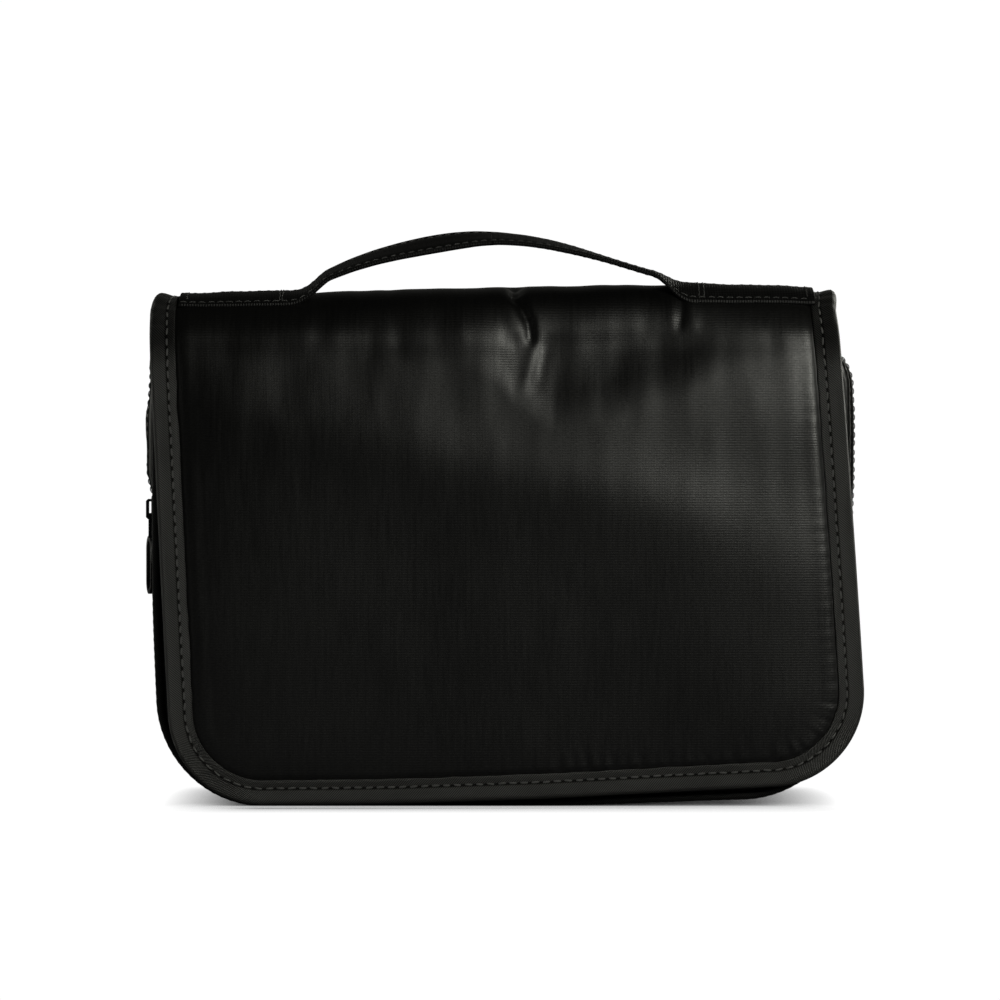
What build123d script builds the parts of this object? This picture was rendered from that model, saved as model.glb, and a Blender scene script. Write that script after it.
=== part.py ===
from build123d import *
import math
import os

# Hanging toiletry bag, folded shut and standing on its base.
#
# A padded cover (back panel, spine panel, front flap) is one strip of foam-cored fabric with two
# folds.  A zipped pouch is sewn to the inside of the back panel.  The flap hangs over the front of
# the pouch.  Lifting the spine and then the flap lays the cover out flat, one above the other, and
# the swivel hook at the flap's free edge then stands above it, so the open bag hangs from a rail.
#
# Frame: +Z up, X across the width, the flap faces -Y (the front), so -X is the left.  Origin: on
# the pouch's flat base, at the middle of the width, midway between the outer faces of the flap and
# the back panel.  Units: millimetres.

os.makedirs("parts", exist_ok=True)
pieces = {}            # file name: finished BuildPart

# ------------------------------------------------------------------ driving dimensions
# padded cover, in three layers
cover_t = 0.8          # outer nylon
foam_t = 2.0           # foam core
lining_t = 0.6         # inner lining
wall_t = cover_t + foam_t + lining_t
binding_t = 0.6        # folded edge tape, one thickness
binding_w = 8.0        # width of the tape that shows on each face

back_y = 34.0          # outer face of the back panel
back_inner_y = back_y - wall_t
flap_front_y = -34.0   # outer face of the flap
flap_inner_y = flap_front_y + wall_t
spine_top_z = 172.0    # outer face of the spine panel

# pouch
pouch_half_w = 116.0
pouch_top_z = 163.0
pouch_r_low = 35.0
pouch_r_top = 22.0
fabric_t = 1.2         # pouch wall, shell and lining together
pouch_depth = 52.0
pouch_rear_y = back_inner_y
pouch_front_y = pouch_rear_y - pouch_depth      # gusset's front edge
front_face_y = pouch_front_y - fabric_t         # outer face of the pouch's front wall

# folds: each is a sewn roll on the hinge axis
fold_r = 1.7
fold_gap = 2.5         # from the hinge axis to the panel's edge
rear_fold_y = back_y - wall_t / 2
front_fold_y = flap_front_y + wall_t / 2
fold_z = spine_top_z - wall_t / 2
panel_top_z = fold_z - fold_gap                 # top edge of the back panel and the flap

# flap outline: the flap hangs a little askew, its free edge drifting to +X
flap_top_left_x, flap_top_right_x = -116.0, 113.5
flap_low_left_x, flap_low_right_x = -107.7, 124.0
flap_low_left_z, flap_low_right_z = 0.9, 8.6
flap_r = 31.0

# mouth of the main compartment: the front wall's upper half
mouth_z = 92.0
mouth_y = front_face_y + fabric_t / 2
mouth_gap = 0.7        # from the mouth down to the lower front wall
mouth_lift = 0.8       # from the mouth up to the gusset and tape that move with the upper wall

# piping along the pouch's front rim
piping_r = 1.2
piping_inset = 1.3
piping_y = front_face_y - 1.25
piping_lower_end_z, piping_upper_end_z = 91.0, 93.6

# main zip, round the upper half of the gusset
zip_y = -6.0
zip_end_z = 91.5
tape_half_w = 7.0      # from the zip's middle to the gusset's edge
coil_row_w = 2.7       # one row of the coil, across
coil_gap = 0.1         # from the zip's middle to each row
coil_h = 1.2
tape_in, tape_out = 1.0, 0.2       # tape lies this far inside the gusset's outer face
teeth_low_z = zip_end_z + 1.5
joined_top_z = 105.5   # top of the joined teeth
coil_front_low_z = 106.0
slider_z = 99.0

# straight pocket zips
pocket_zip_z = 80.0
flap_zip_z = 97.0
pocket_zip_half_len = 100.0
flap_zip_half_len = 96.0
flap_mid_x = 1.0
zip_tape_w, zip_tape_t = 12.0, 0.5
zip_coil_w, zip_coil_t = 4.2, 1.0
zip_coil_short = 6.0   # the coil is this much shorter than the tape
stop_w, stop_h, stop_t = 2.2, 5.4, 1.6
stop_inset = 1.4       # from the tape's end to the stop's middle

# mesh pockets
mesh_t, hem_t = 1.8, 2.3
hem_side = 6.0         # hem shown beside the mesh

# handle strap
strap_y = -22.0
strap_w = 12.0
strap_t = 1.8
arch_x0, arch_x1 = -65.5, 61.5
arch_end_z = 176.9
arch_top_z = 191.7

# swivel hook
webbing_t = 0.7
barrel_r = 2.0         # yoke's barrel, round the swivel's stem
hook_y = flap_inner_y + webbing_t + 0.1 + barrel_r
hook_axis_z = 18.5     # yoke's cross bar
hook_wire_r = 1.7
hook_throat_r = 9.5
hook_centre_z = hook_axis_z + 38.8

# limits beyond the bag, for cutting profiles
cut_w, cut_h = 400.0, 200.0
below_z, above_z = -10.0, 200.0
past_top = 40.0        # overrun of an outline past its open top


# ------------------------------------------------------------------ planes
def at_y(y):
    """Plane at one Y, local x = X, local y = Z, normal towards the front (-Y)."""
    return Plane(origin=(0, y, 0), x_dir=(1, 0, 0), z_dir=(0, -1, 0))


def across(x, y, z):
    """Plane facing +X, local x = Y, local y = Z."""
    return Plane(origin=(x, y, z), x_dir=(0, 1, 0), z_dir=(1, 0, 0))


def on_wall(wall_y, out, lift, thick):
    """Start plane, extruded forward by thick, of a layer lifted off a wall's out (+1/-1 Y) side."""
    return at_y(wall_y + out * lift + (thick if out > 0 else 0))


# ------------------------------------------------------------------ shared profiles
def panel_face(half_w, low_z, top_z, r_low, r_top):
    """Upright panel with rounded lower and upper corners."""
    with BuildSketch() as panel:
        with Locations((0, (low_z + top_z) / 2)):
            Rectangle(2 * half_w, top_z - low_z)
        if r_low:
            fillet(panel.vertices().group_by(Axis.Y)[0], r_low)
        if r_top:
            fillet(panel.vertices().group_by(Axis.Y)[-1], r_top)
    return panel.sketch


def pouch_face(inset):
    """Outline of the pouch, drawn in by inset (negative draws it out)."""
    return panel_face(pouch_half_w - inset, inset, pouch_top_z - inset,
                      pouch_r_low - inset, pouch_r_top - inset)


def back_face(inset, top_z):
    """Outline of the back panel, drawn in by inset at its sides and base."""
    return panel_face(pouch_half_w - inset, inset, top_z, pouch_r_low - inset, 0)


def flap_face(grow):
    """Outline of the flap, drawn out by grow (negative draws it in), open at its top edge."""
    left_lean = (flap_top_left_x - flap_low_left_x) / (panel_top_z - flap_low_left_z)
    right_lean = (flap_top_right_x - flap_low_right_x) / (panel_top_z - flap_low_right_z)
    with BuildSketch() as flap:
        with BuildLine():
            Polyline(
                (flap_top_left_x + past_top * left_lean, panel_top_z + past_top),
                (flap_top_right_x + past_top * right_lean, panel_top_z + past_top),
                (flap_low_right_x, flap_low_right_z),
                (flap_low_left_x, flap_low_left_z),
                close=True,
            )
        make_face()
        low_corners = flap.vertices().group_by(Axis.Y)[0] + flap.vertices().group_by(Axis.Y)[1]
        fillet(low_corners, flap_r)
        if grow:
            offset(amount=grow, kind=Kind.ARC, mode=Mode.REPLACE)
        with Locations((0, panel_top_z + 50)):
            Rectangle(cut_w, 100, mode=Mode.SUBTRACT)
    return flap.sketch


def gusset_band(outer, inner, low_z, high_z):
    """The part of the pouch's rim between two offsets and between two heights."""
    with BuildSketch() as band:
        add(pouch_face(outer))
        add(pouch_face(inner), mode=Mode.SUBTRACT)
        with Locations((0, low_z - cut_h / 2)):
            Rectangle(cut_w, cut_h, mode=Mode.SUBTRACT)
        with Locations((0, high_z + cut_h / 2)):
            Rectangle(cut_w, cut_h, mode=Mode.SUBTRACT)
    return band.sketch


def rim_path(end_z, side):
    """Piping's centre line, from end_z round the pouch's lower (side -1) or upper (1) rim."""
    half = pouch_half_w - piping_inset
    if side < 0:
        corner_r = pouch_r_low - piping_inset
        edge_z = piping_inset
    else:
        corner_r = pouch_r_top - piping_inset
        edge_z = pouch_top_z - piping_inset
    corner_z = edge_z - side * corner_r
    with BuildLine(at_y(piping_y)) as path:
        left = Line((-half, end_z), (-half, corner_z))
        left_arc = RadiusArc(left @ 1, (-half + corner_r, edge_z), side * corner_r)
        middle = Line(left_arc @ 1, (half - corner_r, edge_z))
        right_arc = RadiusArc(middle @ 1, (half, corner_z), side * corner_r)
        Line(right_arc @ 1, (half, end_z))
    return path.wires()[0]


# ------------------------------------------------------------------ shared solids
def layer(start_y, thick, outline, *sizes):
    """Flat layer with the profile outline(*sizes), from start_y forward."""
    with BuildPart() as part:
        with BuildSketch(at_y(start_y)):
            add(outline(*sizes))
        extrude(amount=thick)
    return part


def blocks(plane, thick, width, height, *spots, corner_r=0):
    """Equal rectangular blocks on a plane, one at each spot."""
    with BuildPart() as part:
        with BuildSketch(plane):
            with Locations(*spots):
                if corner_r:
                    RectangleRounded(width, height, corner_r)
                else:
                    Rectangle(width, height)
        extrude(amount=thick)
    return part


def piping(end_z, side):
    """Round cord along the lower or upper rim."""
    with BuildPart() as cord:
        with BuildLine() as path:
            add(rim_path(end_z, side))
        with BuildSketch(Plane(origin=path.line @ 0, z_dir=path.line % 0)):
            Circle(piping_r)
        sweep(path=path.line, transition=Transition.ROUND)
    return cord


def fold_seam(x0, x1, y):
    """Sewn roll on a hinge axis."""
    with BuildPart() as roll:
        with BuildSketch(across(x0, y, fold_z)):
            Circle(fold_r)
        extrude(amount=x1 - x0)
    return roll


def looped_elastic(low_z, height, wall_y, out, thick, bands, half_w, rise, inset):
    """Elastic bands on a wall's out side, arched away from it in loops.

    bands: (middle x, length, loop middles).  half_w and rise size a loop's outer arc; the
    opening is narrower by inset at each end and lower by the elastic's thickness.
    """
    with BuildPart() as part:
        with BuildSketch(Plane.XY.offset(low_z)):
            for mid_x, length, loop_mids in bands:
                with Locations((mid_x, wall_y + out * thick / 2)):
                    Rectangle(length, thick)
                for loop_x in loop_mids:
                    for half, reach, mode in (
                        (half_w, rise, Mode.ADD),
                        (half_w - inset, rise - thick, Mode.SUBTRACT),
                    ):
                        start = (loop_x - half, wall_y)
                        end = (loop_x + half, wall_y)
                        with BuildLine():
                            ThreePointArc(start, (loop_x, wall_y + out * reach), end)
                            Line(end, start)
                        make_face(mode=mode)
        extrude(amount=height)
    return part


def pocket_zip(prefix, wall_y, out, mid_x, z, half_len):
    """Tape, coil and end stops of a straight zip."""
    pieces[f"{prefix}_zip_tape"] = blocks(
        on_wall(wall_y, out, 0, zip_tape_t), zip_tape_t, 2 * half_len, zip_tape_w, (mid_x, z))
    pieces[f"{prefix}_zip_coil"] = blocks(
        on_wall(wall_y, out, zip_tape_t, zip_coil_t), zip_coil_t,
        2 * half_len - zip_coil_short, zip_coil_w, (mid_x, z))
    pieces[f"{prefix}_zip_stops"] = blocks(
        on_wall(wall_y, out, zip_tape_t, stop_t), stop_t, stop_w, stop_h,
        (mid_x - half_len + stop_inset, z), (mid_x + half_len - stop_inset, z))


# ------------------------------------------------------------------ padded cover's layers
spine_y0, spine_y1 = front_fold_y + fold_gap, rear_fold_y - fold_gap
spine_len = spine_y1 - spine_y0

depth = 0              # from the cover's outer face
for name, thick in (("cover", cover_t), ("foam", foam_t), ("lining", lining_t)):
    pieces[f"back_{name}"] = layer(back_y - depth, thick, back_face, binding_t, panel_top_z)
    pieces[f"flap_{name}"] = layer(flap_front_y + depth + thick, thick, flap_face, 0)
    pieces[f"spine_{name}"] = blocks(
        Plane.XY.offset(spine_top_z - depth - thick), thick,
        2 * pouch_half_w - 2 * binding_t, spine_len, (0, (spine_y0 + spine_y1) / 2))
    depth += thick

# ------------------------------------------------------------------ edge tape
# back panel: a leg on the rear face, then a wrap over the edge
with BuildPart() as pieces["back_binding"]:
    for start_y, thick, inset in (
        (back_y + binding_t, binding_t, binding_t + binding_w),
        (back_y, wall_t, binding_t),
    ):
        with BuildSketch(at_y(start_y)):
            add(back_face(0, panel_top_z))
            add(back_face(inset, fold_z + past_top), mode=Mode.SUBTRACT)
        extrude(amount=thick)

# flap: a wrap over the edge, then a leg on each face
with BuildPart() as pieces["flap_binding"]:
    with BuildSketch(at_y(flap_inner_y + binding_t)):
        add(flap_face(binding_t))
        add(flap_face(0), mode=Mode.SUBTRACT)
    extrude(amount=wall_t + 2 * binding_t)
    for leg_y in (flap_front_y, flap_inner_y + binding_t):
        with BuildSketch(at_y(leg_y)):
            add(flap_face(0))
            add(flap_face(-binding_w), mode=Mode.SUBTRACT)
        extrude(amount=binding_t)

# spine: a channel over each side edge, its hollow cut 1 mm past the legs
hollow_w = binding_w + 1
with BuildPart() as pieces["spine_binding"]:
    with BuildSketch(at_y(spine_y1)):
        for side in (-1, 1):
            with Locations((side * (pouch_half_w - (binding_w + binding_t) / 2), fold_z)):
                Rectangle(binding_w + binding_t, wall_t + 2 * binding_t)
            with Locations((side * (pouch_half_w - binding_t - hollow_w / 2), fold_z)):
                Rectangle(hollow_w, wall_t, mode=Mode.SUBTRACT)
    extrude(amount=spine_len)

# ------------------------------------------------------------------ folds
pieces["front_fold_seam"] = fold_seam(flap_top_left_x, flap_top_right_x, front_fold_y)
pieces["rear_fold_seam"] = fold_seam(-pouch_half_w, pouch_half_w, rear_fold_y)

# ------------------------------------------------------------------ pouch walls
tape_rear_y = zip_y + tape_half_w
tape_front_y = zip_y - tape_half_w

pieces["gusset_lower"] = layer(
    pouch_rear_y, pouch_depth, gusset_band, 0, fabric_t, below_z, zip_end_z)
pieces["gusset_upper_rear"] = layer(
    pouch_rear_y, pouch_rear_y - tape_rear_y, gusset_band, 0, fabric_t, zip_end_z, above_z)
pieces["gusset_upper_front"] = layer(
    tape_front_y, tape_front_y - pouch_front_y,
    gusset_band, 0, fabric_t, mouth_z + mouth_lift, above_z)

with BuildPart() as pieces["front_panel_lower"]:
    with BuildSketch(at_y(pouch_front_y)):
        add(pouch_face(0))
        with Locations((0, mouth_z - mouth_gap + cut_h / 2)):
            Rectangle(cut_w, cut_h, mode=Mode.SUBTRACT)
    extrude(amount=fabric_t)

# upper front wall, with a rounded lower edge at the mouth
with BuildPart() as pieces["front_panel_upper"]:
    with BuildSketch(at_y(pouch_front_y)):
        add(pouch_face(0))
        with Locations((0, mouth_z - cut_h / 2)):
            Rectangle(cut_w, cut_h, mode=Mode.SUBTRACT)
    extrude(amount=fabric_t)
    with BuildSketch(across(-pouch_half_w, mouth_y, mouth_z)):
        Circle(fabric_t / 2)
    extrude(amount=2 * pouch_half_w)

pieces["piping_lower"] = piping(piping_lower_end_z, -1)
pieces["piping_upper"] = piping(piping_upper_end_z, 1)

# ------------------------------------------------------------------ bottle loops
# inside the compartment: one elastic band sewn down between four loops
loop_w, loop_gap, loop_n = 42.0, 4.0, 4
bottle_elastic_t = 1.2
loop_pitch = loop_w + loop_gap
pieces["bottle_elastic"] = looped_elastic(
    low_z=62.0, height=25.0, wall_y=back_inner_y, out=-1, thick=bottle_elastic_t,
    bands=[(0, loop_n * loop_pitch + loop_gap,
            [(n - (loop_n - 1) / 2) * loop_pitch for n in range(loop_n)])],
    half_w=loop_w / 2, rise=12.0, inset=bottle_elastic_t)

# ------------------------------------------------------------------ main zip
row_rear_y = zip_y + coil_gap      # the rear row's front edge
row_front_y = zip_y - coil_gap     # the front row's rear edge

pieces["main_zip_tape_rear"] = layer(
    tape_rear_y, tape_rear_y - row_rear_y, gusset_band, tape_out, tape_in, zip_end_z, above_z)
pieces["main_zip_tape_front"] = layer(
    row_front_y, row_front_y - tape_front_y,
    gusset_band, tape_out, tape_in, mouth_z + mouth_lift, above_z)
pieces["main_zip_coil_rear"] = layer(
    row_rear_y + coil_row_w, coil_row_w, gusset_band, -coil_h, tape_out, teeth_low_z, above_z)
pieces["main_zip_coil_front"] = layer(
    row_front_y, coil_row_w, gusset_band, -coil_h, tape_out, coil_front_low_z, above_z)
# the few front-row teeth that stay joined, at both ends of the zip
pieces["main_zip_end_teeth"] = layer(
    row_front_y, coil_row_w, gusset_band, -coil_h, tape_out, teeth_low_z, joined_top_z)

# fabric tabs over the two ends of the zip; local y is -Z on the left and +Z on the right
tab_z, tab_w, tab_h, tab_t = 86.0, 15.0, 10.0, 0.8
with BuildPart() as pieces["main_zip_end_tabs"]:
    for side in (-1, 1):
        with BuildSketch(Plane(origin=(side * pouch_half_w, zip_y, 0), x_dir=(0, 1, 0),
                               z_dir=(side, 0, 0))):
            with Locations((0, side * tab_z)):
                RectangleRounded(tab_w, tab_h, 1.5)
        extrude(amount=tab_t)

# ------------------------------------------------------------------ front pocket
front_mesh_low_z = 31.0
front_mesh_top_z = pocket_zip_z - zip_tape_w / 2
front_mesh_w = 2 * pocket_zip_half_len
front_hem_low_z, front_hem_top_z = 9.0, 90.0
front_hem_inset = 3.2  # least distance from the pouch's outline
window_h = 100.0       # window from the mesh's lower edge up, open at the top

pieces["front_pocket_mesh"] = blocks(
    at_y(front_face_y), mesh_t, front_mesh_w, front_mesh_top_z - front_mesh_low_z,
    (0, (front_mesh_low_z + front_mesh_top_z) / 2))

with BuildPart() as pieces["front_pocket_hem"]:
    with BuildSketch(at_y(front_face_y)):
        with Locations((0, (front_hem_low_z + front_hem_top_z) / 2)):
            Rectangle(front_mesh_w + 2 * hem_side, front_hem_top_z - front_hem_low_z)
        with Locations((0, front_mesh_low_z + window_h / 2)):
            Rectangle(front_mesh_w, window_h, mode=Mode.SUBTRACT)
        add(pouch_face(front_hem_inset), mode=Mode.INTERSECT)
    extrude(amount=hem_t)

pocket_zip("front", front_face_y, -1, 0, pocket_zip_z, pocket_zip_half_len)

# ------------------------------------------------------------------ flap pocket
flap_mesh_low_z = flap_zip_z + zip_tape_w / 2
flap_mesh_top_z = 156.0
flap_mesh_w = 2 * flap_zip_half_len
flap_hem_low_z = 90.0
flap_hem_top_z = flap_mesh_top_z + hem_side
flap_window_h = 106.0  # window from the mesh's top edge down, open at the bottom

pieces["flap_pocket_mesh"] = blocks(
    on_wall(flap_inner_y, 1, 0, mesh_t), mesh_t, flap_mesh_w, flap_mesh_top_z - flap_mesh_low_z,
    (flap_mid_x, (flap_mesh_low_z + flap_mesh_top_z) / 2))

with BuildPart() as pieces["flap_pocket_hem"]:
    with BuildSketch(on_wall(flap_inner_y, 1, 0, hem_t)):
        with Locations((flap_mid_x, (flap_hem_low_z + flap_hem_top_z) / 2)):
            Rectangle(flap_mesh_w + 2 * hem_side, flap_hem_top_z - flap_hem_low_z)
        with Locations((flap_mid_x, flap_mesh_top_z - flap_window_h / 2)):
            Rectangle(flap_mesh_w, flap_window_h, mode=Mode.SUBTRACT)
    extrude(amount=hem_t)

pocket_zip("flap", flap_inner_y, 1, flap_mid_x, flap_zip_z, flap_zip_half_len)

# two flat elastic bands, each sewn down between three low loops
band_mid_x, flap_loop_pitch = 62.0, 25.0
pieces["flap_elastic_bands"] = looped_elastic(
    low_z=46.0, height=18.0, wall_y=flap_inner_y, out=1, thick=1.0,
    bands=[(side * band_mid_x, 76.0,
            [side * band_mid_x + n * flap_loop_pitch for n in (-1, 0, 1)])
           for side in (-1, 1)],
    half_w=10.5, rise=3.0, inset=2.0)

# ------------------------------------------------------------------ closure patches
# loop patches lie on the front pocket's hem, hook patches on the flap's lining
patch_x, patch_z = 48.0, 23.0
right_hook_patch_z = 26.0
patch_w, patch_h, patch_t, patch_r = 26.0, 14.0, 1.8, 1.5
pieces["closure_loop_patches"] = blocks(
    on_wall(front_face_y, -1, hem_t, patch_t), patch_t, patch_w, patch_h,
    (-patch_x, patch_z), (patch_x, patch_z), corner_r=patch_r)
pieces["closure_hook_patches"] = blocks(
    on_wall(flap_inner_y, 1, 0, patch_t), patch_t, patch_w, patch_h,
    (-patch_x, patch_z), (patch_x, right_hook_patch_z), corner_r=patch_r)

# ------------------------------------------------------------------ webbing loop for the hook
webbing_w = 16.0
webbing_top_z = 34.0
webbing_r = 2.1        # outside of the loop round the cross bar
bar_r = 1.4
bar_hole_r = bar_r + 0.1
webbing_low_z = hook_axis_z - webbing_r

with BuildPart() as pieces["hook_webbing"]:
    with BuildSketch(across(-webbing_w / 2, 0, 0)):
        with Locations((hook_y, hook_axis_z)):
            Circle(webbing_r)
        with Locations(((flap_inner_y + hook_y) / 2, hook_axis_z)):
            Rectangle(hook_y - flap_inner_y, 2 * webbing_r)
        with Locations((flap_inner_y + webbing_t / 2, (webbing_low_z + webbing_top_z) / 2)):
            Rectangle(webbing_t, webbing_top_z - webbing_low_z)
        with Locations((hook_y, hook_axis_z)):
            Circle(bar_hole_r, mode=Mode.SUBTRACT)
    extrude(amount=webbing_w)

# ------------------------------------------------------------------ swivel hook
# yoke: a round cross bar, a flat frame above it and a bored barrel on top
yoke_w, yoke_h = 23.0, 11.0
window_w, window_top = 19.0, 7.5   # frame's opening, its top above the bar's axis
barrel_len = 4.2
bore_r, bore_overrun = 1.55, 0.2

with BuildPart() as pieces["hook_yoke"]:
    with BuildSketch(across(-yoke_w / 2, hook_y, hook_axis_z)):
        Circle(bar_r)
    extrude(amount=yoke_w)
    with BuildSketch(at_y(hook_y + bar_r)):
        with Locations((0, hook_axis_z + yoke_h / 2)):
            Rectangle(yoke_w, yoke_h)
        with Locations((0, hook_axis_z + window_top / 2)):
            Rectangle(window_w, window_top, mode=Mode.SUBTRACT)
    extrude(amount=2 * bar_r)
    with BuildSketch(Plane(origin=(0, hook_y, hook_axis_z + window_top))):
        Circle(barrel_r)
    extrude(amount=barrel_len)
    with Locations((0, hook_y, hook_axis_z + window_top + barrel_len / 2)):
        Cylinder(bore_r, barrel_len + 2 * bore_overrun, mode=Mode.SUBTRACT)

# hook: a turned stem with a collar on each side of the barrel, then the bent wire
stem_steps = (         # start above the bar's axis, radius, length
    (4.2, 1.9, 2.6),   # lower collar
    (6.0, 1.5, 10.0),  # stem
    (12.4, 1.95, 2.4),  # upper collar
)
wire_start_z = hook_axis_z + 13.5
wire_straight_z = hook_axis_z + 21.0
bend_r = hook_throat_r + hook_wire_r
tip_z = hook_centre_z - 3.5

with BuildPart() as pieces["swivel_hook"]:
    for start, radius, length in stem_steps:
        with BuildSketch(Plane(origin=(0, hook_y, hook_axis_z + start))):
            Circle(radius)
        extrude(amount=length)
    with BuildLine(at_y(hook_y)) as hook_path:
        Line((0, wire_start_z), (0, wire_straight_z))
        Bezier(
            (0.0, wire_straight_z),
            (0.0, hook_axis_z + 29.0),
            (bend_r, hook_centre_z - 9.0),
            (bend_r, hook_centre_z),
        )
        ThreePointArc((bend_r, hook_centre_z), (0, hook_centre_z + bend_r),
                      (-bend_r, hook_centre_z))
        Line((-bend_r, hook_centre_z), (-bend_r, tip_z))
    with BuildSketch(Plane(origin=(0, hook_y, wire_start_z), z_dir=(0, 0, 1))):
        Circle(hook_wire_r)
    sweep(path=hook_path.line)
    with Locations((-bend_r, hook_y, tip_z)):
        Sphere(hook_wire_r + 0.3)

# ------------------------------------------------------------------ handle
strap_rear_y = strap_y + strap_w / 2
strap_end_x = 107.0
bend_run = 6.5         # from the strap's bend to the arch's end, along X
ramp_low_z = arch_end_z - 1.5      # underside of the turned-up end

# the strap's two ends, sewn flat to the spine and turned up where the arch begins
with BuildPart() as pieces["handle_anchors"]:
    with BuildSketch(at_y(strap_rear_y)):
        for side, arch_x in ((-1, arch_x0), (1, arch_x1)):
            bend_x = arch_x + side * bend_run
            with BuildLine():
                Polyline(
                    (side * strap_end_x, spine_top_z),
                    (bend_x, spine_top_z),
                    (arch_x + side * 0.6, ramp_low_z),
                    (arch_x + side * 1.3, ramp_low_z + 1.7),
                    (bend_x + side * 0.6, spine_top_z + strap_t),
                    (side * strap_end_x, spine_top_z + strap_t),
                    close=True,
                )
            make_face()
    extrude(amount=strap_w)

arch_mid = (arch_x0 + arch_x1) / 2
strap_half = strap_t / 2
with BuildPart() as pieces["handle_arch"]:
    with BuildSketch(at_y(strap_rear_y)):
        with BuildLine():
            outer = ThreePointArc((arch_x0, arch_end_z + strap_half),
                                  (arch_mid, arch_top_z + strap_half),
                                  (arch_x1, arch_end_z + strap_half))
            Line(outer @ 1, (arch_x1, arch_end_z - strap_half))
            inner = ThreePointArc((arch_x1, arch_end_z - strap_half),
                                  (arch_mid, arch_top_z - strap_half),
                                  (arch_x0, arch_end_z - strap_half))
            Line(inner @ 1, outer @ 0)
        make_face()
    extrude(amount=strap_w)

# ------------------------------------------------------------------ main zip slider and pull
# local frame: x up the zip, y across it (+Y), z outward (-X)
side_plane = Plane(origin=(-pouch_half_w, zip_y, slider_z), x_dir=(0, 0, 1), z_dir=(-1, 0, 0))
body_h = 2.35
channel_w, channel_top, channel_overrun = 6.3, 1.35, 0.5
bridge_w = 2.2

with BuildPart() as pieces["main_slider"]:
    with BuildSketch(side_plane):
        RectangleRounded(11.0, 8.8, 1.8)
    extrude(amount=body_h)
    with BuildSketch(side_plane.offset(-channel_overrun)):
        Rectangle(14.0, channel_w)
    extrude(amount=channel_overrun + channel_top, mode=Mode.SUBTRACT)
    # bridge over the pull's cross bar: local x up, local y towards -X
    with BuildSketch(Plane(origin=(-pouch_half_w, zip_y + bridge_w / 2, slider_z),
                           x_dir=(0, 0, 1), z_dir=(0, -1, 0))):
        with BuildLine():
            Polyline((-2.6, 2.0), (-2.6, 3.9), (-1.9, 4.6), (3.7, 4.6), (4.4, 3.9), (4.4, 2.0),
                     close=True)
        make_face()
        with BuildLine():
            Polyline((-1.7, 1.0), (-1.7, 3.7), (3.5, 3.7), (3.5, 1.0), close=True)
        make_face(mode=Mode.SUBTRACT)
    extrude(amount=bridge_w)

# cross bar's place along the slider and out from the gusset
pull_along, pull_out = -1.0, 3.0
pull_half_t = 0.55
eye_w, arm_w, arm_len = 5.2, 1.1, 8.0
arm_y = (eye_w - arm_w) / 2
pull_x, pull_z = -pouch_half_w - pull_out, slider_z + pull_along
ring_turn = math.radians(17.5)

with BuildPart() as pieces["main_pull"]:
    with BuildSketch(Plane(origin=(pull_x, zip_y - eye_w / 2, pull_z),
                           x_dir=(1, 0, 0), z_dir=(0, 1, 0))):
        Circle(pull_half_t)
    extrude(amount=eye_w)
    # eye: two arms beside the bridge, closed by a short plate
    with BuildSketch(side_plane.offset(pull_out - pull_half_t)):
        with Locations((pull_along - arm_len / 2, arm_y), (pull_along - arm_len / 2, -arm_y)):
            Rectangle(arm_len, arm_w)
        with Locations((pull_along - 7.1, 0)):
            Rectangle(1.8, eye_w)
    extrude(amount=2 * pull_half_t)
    # long oval ring, turned a little about the pull's length
    with BuildSketch(Plane(origin=(pull_x - 0.3, zip_y, pull_z - 17.3), x_dir=(0, 0, 1),
                           z_dir=(-math.cos(ring_turn), -math.sin(ring_turn), 0))):
        SlotOverall(20.0, 9.0)
        SlotOverall(16.8, 5.8, mode=Mode.SUBTRACT)
    extrude(amount=pull_half_t, both=True)


# ------------------------------------------------------------------ pocket sliders and pulls
# local frame: x along the zip, y up, z away from the panel
def pocket_slider(plane):
    """Slider body over the coil, with a headed post for the pull."""
    with BuildPart() as slider:
        with BuildSketch(plane.offset(0.65)):
            RectangleRounded(8.6, 7.0, 1.4)
        extrude(amount=1.7)
        # channel for the coil
        with BuildSketch(plane.offset(0.3)):
            Rectangle(12.0, 4.6)
        extrude(amount=1.35, mode=Mode.SUBTRACT)
        # post, then its head
        for start, radius, length in ((2.3, 1.2, 1.1), (3.25, 2.0, 0.7)):
            with BuildSketch(plane.offset(start)):
                Circle(radius)
            extrude(amount=length)
    return slider


def pocket_pull(plane):
    """Flat tongue hanging from the post, with a slot near its lower end."""
    with BuildPart() as pull:
        with BuildSketch(plane.offset(2.45)):
            Circle(2.4)
            with Locations((0, -9.5)):
                RectangleRounded(4.6, 19.0, 1.6)
            Circle(1.27, mode=Mode.SUBTRACT)
            with Locations((0, -15.0)):
                SlotOverall(5.0, 1.8, rotation=90, mode=Mode.SUBTRACT)
        extrude(amount=0.7)
    return pull


front_slider_x, flap_slider_x = -92.0, flap_mid_x + 88.0
slider_planes = {
    "front": Plane(origin=(front_slider_x, front_face_y, pocket_zip_z),
                   x_dir=(1, 0, 0), z_dir=(0, -1, 0)),
    "flap": Plane(origin=(flap_slider_x, flap_inner_y, flap_zip_z),
                  x_dir=(-1, 0, 0), z_dir=(0, 1, 0)),
}
for prefix, plane in slider_planes.items():
    pieces[f"{prefix}_slider"] = pocket_slider(plane)
    pieces[f"{prefix}_pull"] = pocket_pull(plane)

# ------------------------------------------------------------------ write one STEP per piece
for name, piece in pieces.items():
    piece.part.label = name
    export_step(piece.part, f"parts/{name}.step")
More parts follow.
